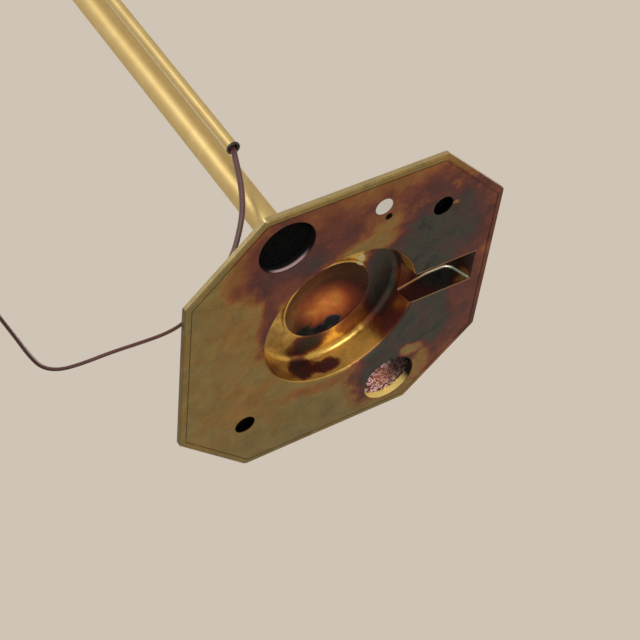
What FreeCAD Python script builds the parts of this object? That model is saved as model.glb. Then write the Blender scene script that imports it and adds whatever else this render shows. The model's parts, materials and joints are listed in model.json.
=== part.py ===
import FreeCAD, Part
import math
import os

from FreeCAD import Vector

# Adjustable floor lamp of patinated brass, in millimetres, +Z up.
# The origin is the centre of the base's underside, on the floor. The base is an octagonal hollow casting
# full of ballast. A post stands in its middle, and beside the post a thinner tube slides up and down in two
# brackets. The tube carries a swing arm with a tilting head, and the lead leaves by the tube's lower end.

# Base casting
BASE_HALF = 140.0
BASE_CORNER_CUT = 62.3
BASE_CORNER_ROUND = 4.0
BASE_EDGE_HEIGHT = 4.5
BASE_EDGE_BEVEL = 1.0
BASE_SLOPE_DEG = 35.5
PLATEAU_Z = 46.0
BASE_WALL = 4.5
BASE_FLOOR = 6.8
RIM_GROOVE_INSET = 5.5
RIM_GROOVE_WIDTH = 0.8
RIM_GROOVE_DEPTH = 0.6
BOSS_R = 24.0
BOSS_HEIGHT = 12.0
BOSS_ROUND = 2.0

# Recess, cup and channel in the underside
RECESS_MOUTH_R = 68.6
RECESS_FLOOR_R = 64.3
RECESS_DEPTH = 23.0
RECESS_ROUND = 5.0
RECESS_MOUTH_ROUND = 1.5
CUP_LIP_R = 38.0
CUP_LIP_WIDTH = 2.0
CUP_LIP_HEIGHT = 1.7
CUP_DEPTH = 14.0
CHANNEL_WIDTH = 32.0
CHANNEL_END_X = 124.5
CHANNEL_DEPTH = 21.0
CHANNEL_MOUTH_DEPTH = 16.5
CHANNEL_RAMP_END_X = 95.0
CHANNEL_END_LEAN_DEG = 20.0
CHANNEL_END_ROUND = 9.0
CHANNEL_WALL = 5.0

# Core holes, the blank label and a casting pit
POCKET_R = 23.8
POCKET_CIRCLE_R = 120.0
POCKET_ANGLE_DEG = 61.1
VENT_R = 8.9
VENT_CIRCLE_R = 117.8
VENT_ANGLE_DEG = -46.5
VENT_DEPTH = 16.0
LABEL_R = 7.5
LABEL_THICKNESS = 0.3
LABEL_RECESS = 0.4
LABEL_GAP = 0.2
LABEL_X = 24.3
LABEL_INSET = 30.3
PIT_R = 2.6
PIT_X = 30.0
PIT_Y = -97.3
PIT_DEPTH = 2.0

# Post
POST_R = 12.0
POST_WALL = 1.5
POST_TOP_Z = 728.0
SPIGOT_THREAD_R = 7.0
SPIGOT_THREAD_LENGTH = 14.0
SPIGOT_PLUG_LENGTH = 26.0
FOOT_COLLAR_R = 18.0
FOOT_COLLAR_HEIGHT = 12.0
FOOT_COLLAR_TOP_ROUND = 3.0
SPIGOT_ROUND = 1.5
CAP_R = 14.0
CAP_HEIGHT = 8.0
CAP_PLUG_LENGTH = 12.0
CAP_TOP_ROUND = 4.8

# Riser, the tube that slides beside the post
RISER_OFFSET = 25.4
RISER_AZIMUTH_DEG = -77.3
RISER_R = 5.0
RISER_WALL = 1.0
RISER_BOTTOM_Z = 180.0
RISER_TOP_Z = 900.0
SLIDE_TRAVEL = 360.0
SLIDE_END_GAP = 1.0
BUSH_FLANGE_R = 6.0
BUSH_FLANGE_THICKNESS = 2.5
BUSH_BODY_LENGTH = 12.0
BUSH_HOLE_R = 3.4
BUSH_MOUTH_ROUND = 1.9

# Brackets and clamp
CLAMP_HEIGHT = 34.0
GUIDE_HEIGHT = 16.0
CLAMP_RING = 7.0
GUIDE_RING = 5.0
LINER_WALL = 1.5
LINER_FLANGE = 1.2
CLAMP_EAR = 6.5
GUIDE_EAR = 4.5
BRACKET_ROUND = 1.2
KNOB_SHANK_R = 3.0
KNOB_R = 9.0
KNOB_LENGTH = 14.0
KNOB_NECK = 2.0
KNOB_NECK_R = 5.4
KNOB_FLUTES = 14
KNOB_FLUTE_R = 1.4
KNOB_ROUND = 1.5
PAD_THICKNESS = 2.0
FIXING_SCREW_R = 2.0
STOP_COLLAR_R = 9.0
STOP_COLLAR_HEIGHT = 9.0
STOP_COLLAR_ROUND = 1.5
STOP_SCREW_R = 1.5
SCREW_SINK = 0.5

# Swivel at the top of the riser
STUD_FLANGE_R = 7.0
STUD_FLANGE_THICKNESS = 3.0
STUD_PLUG_LENGTH = 18.0
STUD_NECK_R = 5.0
STUD_BORE_R = 2.8
STUD_ABOVE_NUT = 1.0
SWIVEL_WASHER_THICKNESS = 1.0
SWIVEL_WASHER_INSET = 2.0
KNUCKLE_R = 14.0
KNUCKLE_WALL = 3.0
KNUCKLE_FLOOR = 6.0
KNUCKLE_HEIGHT = 32.0
KNUCKLE_SOCKET_R = 8.0
KNUCKLE_SOCKET_REACH = 24.0
KNUCKLE_ROUND = 2.5
KNUCKLE_CAP_HEIGHT = 6.0
KNUCKLE_CAP_ROUND = 4.2
SWIVEL_NUT_ACROSS = 14.0
SWIVEL_NUT_HEIGHT = 4.0

# Arm, and the barrel at its end in which the fork turns
ARM_R = 5.0
ARM_WALL = 1.0
ARM_REACH = 230.0
ARM_RAISE = 2.0
BARREL_R = 8.0
BARREL_LENGTH = 20.0
BARREL_GRIP = 10.0
BARREL_ROUND = 2.0
FORK_SHANK_R = 4.0
FORK_GAP = 7.0
FORK_CHEEK = 3.0
FORK_BAR_HEIGHT = 10.2
FORK_EYE_R = 8.0
FORK_FLANGE = 3.0
FORK_REACH = 16.0
ROLL_SCREW_R = 1.5

# Tilt joint
TILT_PIN_R = 2.0
TILT_HEAD_R = 4.5
TILT_HEAD_THICKNESS = 2.5
SCREW_SLOT = 0.9
TILT_PIN_IN_KNOB = 6.0
TILT_KNOB_BORE = 6.4
TILT_WASHER_THICKNESS = 0.6
TILT_EYE_R = 7.0
TILT_WASHER_INSET = 0.5
TILT_KNOB_R = 7.0
TILT_KNOB_LENGTH = 8.0
TILT_KNOB_FLUTES = 12
TILT_KNOB_FLUTE_R = 1.1

# Head: socket, switch, shade and bulb, measured down from the tilt axis
NECK_R = 5.0
NECK_DROP = 12.0
NECK_FLANGE_R = 8.0
NECK_FLANGE_THICKNESS = 2.0
NIPPLE_R = 4.0
NIPPLE_LENGTH = 3.0
INNER_GAP = 0.8
SOCKET_CAP_TOP = 26.0
SOCKET_CAP_R = 19.0
SOCKET_CAP_WALL = 1.2
SOCKET_CAP_ROUND = 4.0
SOCKET_BODY_R = 17.0
SOCKET_BODY_LENGTH = 43.0
SOCKET_BODY_BELOW_CAP = 20.0
SOCKET_BORE_R = 14.0
SOCKET_BORE_DEPTH = 30.0
SHELL_WALL = 0.5
SHELL_LENGTH = 26.0
CONTACT_R = 4.0
CONTACT_THICKNESS = 1.0
SWITCH_BODY_R = 5.5
SWITCH_BODY_LENGTH = 13.0
SWITCH_BEHIND_WALL = 1.2
SWITCH_THREAD_R = 4.0
SWITCH_NUT_R = 6.5
SWITCH_NUT_THICKNESS = 2.0
SWITCH_KNOB_R = 6.0
SWITCH_KNOB_LENGTH = 12.0
SWITCH_KNOB_FLUTES = 10
SWITCH_KNOB_FLUTE_R = 1.0
SHADE_WALL = 1.0
SHADE_TOP_R = 26.0
SHADE_MOUTH_R = 80.0
SHADE_DEPTH = 90.0
SHADE_BELLY_R = 67.0
SHADE_BELLY_DROP = 30.0
SHADE_BEAD_R = 1.6
SHADE_LEAN = 0.75
SHADE_RING_R = 21.0
SHADE_RING_HEIGHT = 5.0
BULB_R = 24.0
BULB_LENGTH = 89.0
BULB_CAP_R = 12.9
BULB_CAP_LENGTH = 25.0
BULB_GLASS = 0.8
BULB_TIP_R = 4.5
BULB_TIP_HEIGHT = 1.6
BULB_CAP_ROUND = 3.0
BULB_GLASS_IN_CAP = 0.4
BULB_THROAT_START = 0.5
BULB_THROAT_SHARE = 0.86
WIRE_R = 0.9
WIRE_SPREAD = 9.0
WIRE_START_SPREAD = 1.6
WIRE_STEP_ASIDE = 3.0

# Cord, a flat twin lead as wide as CORD_R doubled
CORD_R = 2.6
COIL_OUTER_R = 36.0
COIL_PITCH = 5.7
COIL_LAYERS = 4
COIL_LAYER_TURNS = 2.75
COIL_CLIMB_TURNS = 0.5
COIL_X = -327.0
COIL_Y = -184.0
COIL_START_DEG = -20.0
TIE_THICKNESS = 0.8
TIE_WIDTH = 12.0
TIE_GAP = 0.25
TIE_ROUND = 2.0
TIE_ANGLE_DEG = 95.0
PLUG_LENGTH = 34.0
PLUG_WIDTH = 24.0
PLUG_THICKNESS = 14.0
PLUG_ROUND = 4.0
PLUG_TAPER = 2.5
PLUG_GRIP_X = 11.9
PLUG_FULL_X = 18.7
PLUG_WAIST = 0.85
PLUG_ROUND_SHARE = 0.6
BLADE_LENGTH = 17.0
BLADE_WIDTH = 6.3
BLADE_THICKNESS = 1.5
BLADE_SPACING = 12.7
COIL_APPROACH = 16.0
TAIL_REACH = 62.0
TAIL_SHIFT = 6.0
TAIL_TURN = 0.12
TAIL_START_RUN = 12.0
TAIL_END_RUN = 14.0
TAIL_HUMP = 1.6

# Clearances, how far a cutter runs past the face that it opens, and the usual edge roundings
SNUG = 0.05
RUNNING = 0.1
STANDOFF = 0.3
PAST = 1.0
SMALL_ROUND = 0.6
SOFT_ROUND = 0.8
EDGE_ROUND = 1.0

# Free cord from the bush over the base's slope to the floor, then to the coil
CORD_ROUTE = [
    (5.6, -24.8, 194.0),
    (5.6, -24.8, 181.6),
    (-0.6, -25.0, 166.0),
    (-7.4, -25.2, 148.0),
    (-15.8, -25.4, 129.5),
    (-26.0, -25.6, 111.5),
    (-39.5, -25.8, 93.5),
    (-55.5, -26.0, 75.0),
    (-79.5, -27.2, 56.5),
    (-104.5, -31.0, 38.5),
    (-126.5, -38.0, 22.5),
    (-147.0, -48.5, 11.2),
    (-170.5, -57.5, 5.0),
    (-196.5, -62.5, 3.0),
    (-219.0, -63.0, 2.6),
    (-236.5, -65.5, 2.6),
    (-249.5, -75.5, 2.6),
    (-258.0, -93.0, 2.6),
    (-266.0, -114.0, 2.7),
    (-275.0, -137.0, 2.9),
    (-284.5, -161.0, 3.3),
]

# Worked out from the sizes above
SLOPE = math.tan(math.radians(BASE_SLOPE_DEG))
LABEL_Y = LABEL_INSET - BASE_HALF
PLATEAU_INSET = (PLATEAU_Z - BASE_EDGE_HEIGHT) / SLOPE
BOSS_TOP_Z = PLATEAU_Z + BOSS_HEIGHT
RISER_BORE_R = RISER_R - RISER_WALL
LINER_BORE_R = RISER_R + RUNNING
LINER_R = LINER_BORE_R + LINER_WALL
CLAMP_Z = POST_TOP_Z - CLAMP_HEIGHT
GUIDE_Z = RISER_BOTTOM_Z + BUSH_FLANGE_THICKNESS + SLIDE_TRAVEL + SLIDE_END_GAP
KNUCKLE_Z = RISER_TOP_Z + STUD_FLANGE_THICKNESS + SWIVEL_WASHER_THICKNESS
STUD_TOP_Z = KNUCKLE_Z + KNUCKLE_FLOOR + STANDOFF + SWIVEL_NUT_HEIGHT + STUD_ABOVE_NUT
ARM_Z = KNUCKLE_Z + KNUCKLE_FLOOR + (KNUCKLE_HEIGHT - KNUCKLE_FLOOR) / 2 + ARM_RAISE
TILT_X = RISER_OFFSET + ARM_REACH
ARM_END_X = TILT_X - FORK_REACH - FORK_FLANGE - STANDOFF - (BARREL_LENGTH - BARREL_GRIP)
CAP_TOP_Z = -SOCKET_CAP_TOP
NIPPLE_END_Z = CAP_TOP_Z - SOCKET_CAP_WALL - NIPPLE_LENGTH
SWITCH_Z = NIPPLE_END_Z - INNER_GAP - SWITCH_BODY_R
SOCKET_TOP_Z = SWITCH_Z - SWITCH_BODY_R - INNER_GAP
SOCKET_BOTTOM_Z = SOCKET_TOP_Z - SOCKET_BODY_LENGTH
CAP_RIM_Z = SOCKET_BOTTOM_Z + SOCKET_BODY_BELOW_CAP
CORD_LIFT = TIE_THICKNESS + TIE_GAP
COIL_TURNS = COIL_LAYERS * COIL_LAYER_TURNS
COIL_INNER_R = COIL_OUTER_R - COIL_LAYER_TURNS * COIL_PITCH
COIL_HEIGHT = (COIL_LAYERS - 1) * COIL_PITCH
FLUTE_OUT = 0.4
ARC_REACH = 0.45
EPS = 1e-6


# Shape helpers


def cylinder(radius, height, base=(0, 0, 0), axis=(0, 0, 1)):
    """A cylinder from its base point along its axis."""
    return Part.makeCylinder(radius, height, Vector(*base), Vector(*axis))


def ring(outer, inner, height, base=(0, 0, 0), axis=(0, 0, 1)):
    """A plain ring or sleeve."""
    return cylinder(outer, height, base, axis).cut(cylinder(inner, height, base, axis))


def rounded_wire(points, place):
    """A closed wire through (u, v, radius) corners, each rounded; place turns (u, v) into a point."""
    flat = [Vector(u, v, 0) for u, v, _ in points]
    starts, ends, middles = [], [], []
    for i, (_, _, radius) in enumerate(points):
        corner = flat[i]
        back = (flat[i - 1] - corner).normalize()
        ahead = (flat[(i + 1) % len(flat)] - corner).normalize()
        half_angle = back.getAngle(ahead) / 2
        reach = radius / math.tan(half_angle) if radius else 0.0
        starts.append(corner + back * reach)
        ends.append(corner + ahead * reach)
        bisector = (back + ahead).normalize() if radius else Vector()
        middles.append(corner + bisector * (radius / math.sin(half_angle) - radius))
    edges = []
    for i, (_, _, radius) in enumerate(points):
        if radius:
            arc = [place(p.x, p.y) for p in (starts[i], middles[i], ends[i])]
            edges.append(Part.Arc(*arc).toShape())
        after = starts[(i + 1) % len(points)]
        if ends[i].distanceToPoint(after) > EPS:
            edges.append(Part.makeLine(place(ends[i].x, ends[i].y), place(after.x, after.y)))
    return Part.Wire(edges)


def turned(points):
    """A turned solid: (radius, z, corner round) points of half its section, spun round the Z axis."""
    wire = rounded_wire(points, lambda u, v: Vector(u, 0, v))
    return Part.Face(wire).revolve(Vector(), Vector(0, 0, 1), 360)


def lying_along_x(shape):
    """Lays a shape that was built up the Z axis along +X instead."""
    return shape.rotated(Vector(), Vector(0, 1, 0), 90)


def octagon(half, cut, z, corner_round):
    """The outline of a square of that half width with its corners cut off, at height z."""
    near = half - cut
    corners = [
        (half, -near), (half, near), (near, half), (-near, half),
        (-half, near), (-half, -near), (-near, -half), (near, -half),
    ]
    points = [(x, y, corner_round) for x, y in corners]
    return rounded_wire(points, lambda u, v: Vector(u, v, z))


def base_outline(inset, z, corner_round=BASE_CORNER_ROUND):
    """The base's outline moved inwards by inset, at height z."""
    cut = BASE_CORNER_CUT - inset * (2 - math.sqrt(2))
    return octagon(BASE_HALF - inset, cut, z, corner_round)


def ruled(*wires):
    """A solid with straight walls between the wires."""
    return Part.makeLoft(list(wires), True, True)


def polar(radius, angle_deg):
    """A point on a circle round the origin."""
    angle = math.radians(angle_deg)
    return radius * math.cos(angle), radius * math.sin(angle)


def pair_of_holes(radius, circle_r, angle_deg, bottom, top):
    """Two upright cylinders at opposite ends of a circle's diameter."""
    holes = []
    for turn in (0, 180):
        x, y = polar(circle_r, angle_deg + turn)
        holes.append(cylinder(radius, top - bottom, (x, y, bottom)))
    return holes


def link(post_ring, ear_ring, distance, height, z):
    """A block round two upright axes, as tangent walls join two circles."""
    post_end = cylinder(post_ring, height, (0, 0, z))
    ear_end = cylinder(ear_ring, height, (distance, 0, z))
    lean = math.asin((post_ring - ear_ring) / distance)
    side = [
        (post_ring * math.sin(lean), post_ring * math.cos(lean)),
        (distance + ear_ring * math.sin(lean), ear_ring * math.cos(lean)),
    ]
    corners = side + [(x, -y) for x, y in reversed(side)]
    wire = Part.makePolygon([Vector(x, y, z) for x, y in corners + corners[:1]])
    web = Part.Face(wire).extrude(Vector(0, 0, height))
    return post_end.fuse([ear_end, web]).removeSplitter()


def fluted(radius, length, flutes, flute_r, corner_round):
    """A knob up the Z axis with rounded ends and scallops round its rim."""
    body = turned([(0, 0, 0), (radius, 0, corner_round), (radius, length, corner_round), (0, length, 0)])
    cutters = []
    for i in range(flutes):
        x, y = polar(radius + flute_r * FLUTE_OUT, i * 360 / flutes)
        cutters.append(cylinder(flute_r, length, (x, y, 0)))
    return body.cut(cutters)


def arc_between(start, corner, end):
    """The arc from start to end whose tangents meet at corner."""
    chord_middle = (start + end) / 2
    half_chord = start.distanceToPoint(end) / 2
    half_turn = (corner - start).getAngle(end - start)
    if half_turn < EPS:
        return Part.makeLine(start, end)
    sagitta = half_chord * math.tan(half_turn / 2)
    top = chord_middle + (corner - chord_middle).normalize() * sagitta
    return Part.Arc(start, top, end).toShape()


def swept(edges, radius, name):
    """A round tube along edges, whose volume is compared with its section times its length."""
    wire = Part.Wire(edges)
    start = wire.OrderedEdges[0]
    tangent = start.tangentAt(start.FirstParameter)
    circle = Part.Wire(Part.makeCircle(radius, start.valueAt(start.FirstParameter), tangent))
    tube = wire.makePipeShell([circle], True, False)
    share = tube.Volume / (math.pi * radius**2 * wire.Length)
    print(f"{name}: {wire.Length:.0f} mm long, volume {share:.4f} of section times length")
    return tube


def tube_along(points, radius, name):
    """A round tube of straight runs joined by tangent arcs as large as the runs allow."""
    route = [Vector(*p) for p in points]
    edges, radii = [], []
    last = route[0]
    for before, corner, after in zip(route, route[1:], route[2:]):
        back, ahead = before - corner, after - corner
        turn = math.pi - back.getAngle(ahead)
        reach = ARC_REACH * min(back.Length, ahead.Length)
        radii.append(reach / math.tan(turn / 2))
        start = corner + back.normalize() * reach
        end = corner + ahead.normalize() * reach
        edges.append(Part.makeLine(last, start))
        edges.append(arc_between(start, corner, end))
        last = end
    edges.append(Part.makeLine(last, route[-1]))
    print(f"{name}: arc radii " + " ".join(f"{r:.0f}" for r in radii))
    return swept(edges, radius, name)


# Base


def recess_tool():
    """What is missing from the underside's middle: the round recess and the bowl inside its lip."""
    floor_z = RECESS_DEPTH
    lip_z = floor_z - CUP_LIP_HEIGHT
    lip_outer = CUP_LIP_R + CUP_LIP_WIDTH
    dish = turned([
        (0, -PAST, 0),
        (RECESS_MOUTH_R + RECESS_MOUTH_ROUND, -PAST, 0),
        (RECESS_MOUTH_R + RECESS_MOUTH_ROUND, 0, 0),
        (RECESS_MOUTH_R, RECESS_MOUTH_ROUND, 0),
        (RECESS_FLOOR_R, floor_z, RECESS_ROUND),
        (lip_outer, floor_z, 0),
        (lip_outer, lip_z, 0),
        (0, lip_z, 0),
    ])
    bowl_r = (CUP_LIP_R**2 + CUP_DEPTH**2) / (2 * CUP_DEPTH)
    bowl = Part.makeSphere(bowl_r, Vector(0, 0, lip_z + CUP_DEPTH - bowl_r))
    bowl = bowl.common(cylinder(CUP_LIP_R + PAST, CUP_DEPTH + PAST, (0, 0, lip_z - EPS)))
    return dish.fuse(bowl)


def channel_tool():
    """The scooped channel from the recess towards +X."""
    start_x = RECESS_FLOOR_R - RECESS_ROUND
    deep_end_x = CHANNEL_END_X - CHANNEL_DEPTH * math.tan(math.radians(CHANNEL_END_LEAN_DEG))
    wire = rounded_wire([
        (start_x, -PAST, 0),
        (CHANNEL_END_X, -PAST, 0),
        (CHANNEL_END_X, 0, 0),
        (deep_end_x, CHANNEL_DEPTH, CHANNEL_END_ROUND),
        (CHANNEL_RAMP_END_X, CHANNEL_DEPTH, 0),
        (RECESS_FLOOR_R, CHANNEL_MOUTH_DEPTH, 0),
        (start_x, CHANNEL_MOUTH_DEPTH, 0),
    ], lambda u, v: Vector(u, -CHANNEL_WIDTH / 2, v))
    return Part.Face(wire).extrude(Vector(0, CHANNEL_WIDTH, 0))


def ballast_space():
    """The cored space inside the casting: under the slopes, round the recess and clear of the channel."""
    drop = BASE_WALL / math.cos(math.radians(BASE_SLOPE_DEG))
    roof_z = PLATEAU_Z - BASE_WALL
    low_inset = (drop - BASE_EDGE_HEIGHT + BASE_FLOOR) / SLOPE
    high_inset = (drop - BASE_EDGE_HEIGHT + roof_z) / SLOPE
    space = ruled(base_outline(low_inset, BASE_FLOOR), base_outline(high_inset, roof_z))
    middle = cylinder(RECESS_MOUTH_R + BASE_WALL, PLATEAU_Z)
    guard_width = CHANNEL_WIDTH + 2 * CHANNEL_WALL
    guard = Part.makeBox(BASE_HALF, guard_width, PLATEAU_Z, Vector(0, -guard_width / 2, 0))
    return space.cut([middle, guard])


def base_casting():
    """The octagonal casting, hollow round its recess."""
    body = ruled(
        base_outline(BASE_EDGE_BEVEL, 0),
        base_outline(0, BASE_EDGE_BEVEL),
        base_outline(0, BASE_EDGE_HEIGHT),
        base_outline(PLATEAU_INSET, PLATEAU_Z),
    )
    boss = turned([
        (0, PLATEAU_Z - PAST, 0), (BOSS_R, PLATEAU_Z - PAST, 0),
        (BOSS_R, BOSS_TOP_Z, BOSS_ROUND), (0, BOSS_TOP_Z, 0),
    ])
    body = body.fuse(boss)
    groove = ruled(
        base_outline(RIM_GROOVE_INSET - RIM_GROOVE_WIDTH / 2, 0),
        base_outline(RIM_GROOVE_INSET - RIM_GROOVE_WIDTH / 2, RIM_GROOVE_DEPTH),
    ).cut(ruled(
        base_outline(RIM_GROOVE_INSET + RIM_GROOVE_WIDTH / 2, 0),
        base_outline(RIM_GROOVE_INSET + RIM_GROOVE_WIDTH / 2, RIM_GROOVE_DEPTH),
    ))
    thread_z = BOSS_TOP_Z - SPIGOT_THREAD_LENGTH
    tools = [
        recess_tool(),
        channel_tool(),
        ballast_space(),
        groove,
        cylinder(SPIGOT_THREAD_R + SNUG, SPIGOT_THREAD_LENGTH + PAST, (0, 0, thread_z)),
        cylinder(LABEL_R + LABEL_GAP, LABEL_RECESS, (LABEL_X, LABEL_Y, 0)),
        cylinder(PIT_R, PIT_DEPTH, (PIT_X, PIT_Y, 0)),
    ]
    tools += pair_of_holes(POCKET_R, POCKET_CIRCLE_R, POCKET_ANGLE_DEG, -PAST, BASE_FLOOR + EPS)
    tools += pair_of_holes(VENT_R, VENT_CIRCLE_R, VENT_ANGLE_DEG, -PAST, BASE_FLOOR + EPS)
    for tool in tools:
        body = body.cut(tool)
    return body


def ballast_fill():
    """The ballast that fills the cored space, drawn back above the two small holes."""
    return ballast_space().cut(pair_of_holes(VENT_R, VENT_CIRCLE_R, VENT_ANGLE_DEG, 0, VENT_DEPTH))


def round_label():
    """A blank round label in its shallow seat."""
    return cylinder(LABEL_R, LABEL_THICKNESS, (LABEL_X, LABEL_Y, LABEL_RECESS - LABEL_THICKNESS))


# Post


def post_spigot():
    """The threaded spigot that joins the post to the casting's boss."""
    plug_r = POST_R - POST_WALL - SNUG
    thread = cylinder(SPIGOT_THREAD_R, SPIGOT_THREAD_LENGTH, (0, 0, BOSS_TOP_Z - SPIGOT_THREAD_LENGTH))
    top_z = BOSS_TOP_Z + SPIGOT_PLUG_LENGTH
    plug = turned([
        (0, BOSS_TOP_Z, 0), (plug_r, BOSS_TOP_Z, 0), (plug_r, top_z, SPIGOT_ROUND), (0, top_z, 0),
    ])
    return thread.fuse(plug)


def post_foot_collar():
    """The turned ring round the post's foot."""
    top_z = BOSS_TOP_Z + FOOT_COLLAR_HEIGHT
    return turned([
        (POST_R + SNUG, BOSS_TOP_Z, 0), (FOOT_COLLAR_R, BOSS_TOP_Z, EDGE_ROUND),
        (FOOT_COLLAR_R, top_z, FOOT_COLLAR_TOP_ROUND), (POST_R + SNUG, top_z, 0),
    ])


def post_tube():
    """The post."""
    return ring(POST_R, POST_R - POST_WALL, POST_TOP_Z - BOSS_TOP_Z, (0, 0, BOSS_TOP_Z))


def post_cap():
    """The domed cap that plugs the post's top."""
    plug_r = POST_R - POST_WALL - SNUG
    top_z = POST_TOP_Z + CAP_HEIGHT
    return turned([
        (0, POST_TOP_Z - CAP_PLUG_LENGTH, 0), (plug_r, POST_TOP_Z - CAP_PLUG_LENGTH, EDGE_ROUND),
        (plug_r, POST_TOP_Z, 0), (CAP_R, POST_TOP_Z, SOFT_ROUND),
        (CAP_R, top_z, CAP_TOP_ROUND), (0, top_z, 0),
    ])


# Brackets on the post


def riser_axis_at(z):
    """A point on the riser's axis."""
    return (RISER_OFFSET, 0, z)


def fixing_screw(ring_r, z):
    """The grub screw that fixes a bracket to the post, from the side away from the riser."""
    outer_x = -(ring_r - SCREW_SINK)
    return cylinder(FIXING_SCREW_R, -POST_R - SNUG - outer_x, (outer_x, 0, z), (1, 0, 0))


def fixing_hole(ring_r, z):
    """The tapped hole that takes the grub screw."""
    return cylinder(FIXING_SCREW_R + SNUG, ring_r + PAST, (-ring_r - PAST, 0, z), (1, 0, 0))


def bracket(ring_width, ear_width, height, z):
    """A block on the post with a lined hole for the riser."""
    ring_r = POST_R + ring_width
    body = link(ring_r, LINER_R + ear_width, RISER_OFFSET, height, z)
    body = body.makeFillet(BRACKET_ROUND, [e for e in body.Edges if e.BoundBox.ZLength < EPS])
    through = height + 2 * PAST
    holes = [
        cylinder(POST_R + SNUG, through, (0, 0, z - PAST)),
        cylinder(LINER_R + SNUG, through, riser_axis_at(z - PAST)),
        cylinder(LINER_R + LINER_FLANGE + SNUG, LINER_FLANGE, riser_axis_at(z + height - LINER_FLANGE)),
        fixing_hole(ring_r, z + height / 2),
    ]
    return body.cut(holes)


def liner(height, z):
    """The nylon liner of a bracket's hole, with a flange sunk in the bracket's top."""
    sleeve = ring(LINER_R, LINER_BORE_R, height, riser_axis_at(z))
    flange_foot = riser_axis_at(z + height - LINER_FLANGE)
    return sleeve.fuse(ring(LINER_R + LINER_FLANGE, LINER_BORE_R, LINER_FLANGE, flange_foot))


def knob_hole(radius):
    """The way through clamp and liner for the thumbscrew."""
    length = LINER_R + CLAMP_EAR + PAST
    return cylinder(radius, length, riser_axis_at(CLAMP_Z + CLAMP_HEIGHT / 2), (1, 0, 0))


def clamp_block():
    """The upper bracket, which the thumbscrew tightens on the riser."""
    return bracket(CLAMP_RING, CLAMP_EAR, CLAMP_HEIGHT, CLAMP_Z).cut(knob_hole(KNOB_SHANK_R + RUNNING))


def clamp_liner():
    """The upper bracket's liner, with a window for the pad."""
    return liner(CLAMP_HEIGHT, CLAMP_Z).cut(knob_hole(KNOB_SHANK_R + RUNNING))


def clamp_pad():
    """The soft pad between thumbscrew and riser."""
    start = (RISER_OFFSET + RISER_R + STANDOFF, 0, CLAMP_Z + CLAMP_HEIGHT / 2)
    return cylinder(KNOB_SHANK_R, PAD_THICKNESS, start, (1, 0, 0))


def clamp_knob():
    """The thumbscrew: a shank that reaches the pad, a neck and a fluted head."""
    shank_x = RISER_OFFSET + RISER_R + STANDOFF + PAD_THICKNESS + SNUG
    face_x = RISER_OFFSET + LINER_R + CLAMP_EAR + STANDOFF
    z = CLAMP_Z + CLAMP_HEIGHT / 2
    shank = cylinder(KNOB_SHANK_R, face_x - shank_x + KNOB_NECK, (shank_x, 0, z), (1, 0, 0))
    neck = cylinder(KNOB_NECK_R, KNOB_NECK, (face_x, 0, z), (1, 0, 0))
    head = lying_along_x(fluted(KNOB_R, KNOB_LENGTH, KNOB_FLUTES, KNOB_FLUTE_R, KNOB_ROUND))
    return shank.fuse([neck, head.translated(Vector(face_x + KNOB_NECK, 0, z))])


# Riser


def riser_tube():
    """The sliding tube."""
    bottom = RISER_BOTTOM_Z + BUSH_FLANGE_THICKNESS
    return ring(RISER_R, RISER_BORE_R, RISER_TOP_Z - bottom, riser_axis_at(bottom))


def riser_bush():
    """The black flanged bush that the lead leaves by."""
    flange_top = RISER_BOTTOM_Z + BUSH_FLANGE_THICKNESS
    body_top = flange_top + BUSH_BODY_LENGTH
    body_r = RISER_BORE_R - SNUG
    bush = turned([
        (BUSH_HOLE_R, RISER_BOTTOM_Z, BUSH_MOUTH_ROUND), (BUSH_FLANGE_R, RISER_BOTTOM_Z, SMALL_ROUND),
        (BUSH_FLANGE_R, flange_top, SMALL_ROUND),
        (body_r, flange_top, 0), (body_r, body_top, 0), (BUSH_HOLE_R, body_top, 0),
    ])
    return bush.translated(Vector(RISER_OFFSET, 0, 0))


def stop_collar():
    """The collar that rests on the clamp when the riser is right down."""
    bottom = POST_TOP_Z + STANDOFF
    collar = turned([
        (RISER_R + SNUG, bottom, 0), (STOP_COLLAR_R, bottom, SOFT_ROUND),
        (STOP_COLLAR_R, bottom + STOP_COLLAR_HEIGHT, STOP_COLLAR_ROUND),
        (RISER_R + SNUG, bottom + STOP_COLLAR_HEIGHT, 0),
    ]).translated(Vector(RISER_OFFSET, 0, 0))
    return collar.cut(across_collar(STOP_SCREW_R + SNUG, 0, STOP_COLLAR_R + PAST))


def across_collar(radius, start, end):
    """A cylinder half way up the stop collar, between two distances from the riser's axis."""
    z = POST_TOP_Z + STANDOFF + STOP_COLLAR_HEIGHT / 2
    return cylinder(radius, end - start, (RISER_OFFSET + start, 0, z), (1, 0, 0))


def stop_collar_screw():
    """The collar's grub screw."""
    return across_collar(STOP_SCREW_R, RISER_R + 2 * SNUG, STOP_COLLAR_R - SCREW_SINK)


def riser_lead():
    """The lead inside the riser, from the free cord's start in the bush to the top of the swivel stud."""
    bottom = CORD_ROUTE[0][2]
    return cylinder(CORD_R, STUD_TOP_Z - bottom, riser_axis_at(bottom))


def swivel_stud():
    """The hollow stud on the riser's top that the arm turns on."""
    plug_z = RISER_TOP_Z - STUD_PLUG_LENGTH
    flange_z = RISER_TOP_Z + STUD_FLANGE_THICKNESS
    stud = turned([
        (STUD_BORE_R, plug_z, 0), (RISER_BORE_R - SNUG, plug_z, 0), (RISER_BORE_R - SNUG, RISER_TOP_Z, 0),
        (STUD_FLANGE_R, RISER_TOP_Z, SMALL_ROUND), (STUD_FLANGE_R, flange_z, 0), (STUD_NECK_R, flange_z, 0),
        (STUD_NECK_R, STUD_TOP_Z, SMALL_ROUND), (STUD_BORE_R, STUD_TOP_Z, 0),
    ])
    return stud.translated(Vector(RISER_OFFSET, 0, 0))


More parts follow.
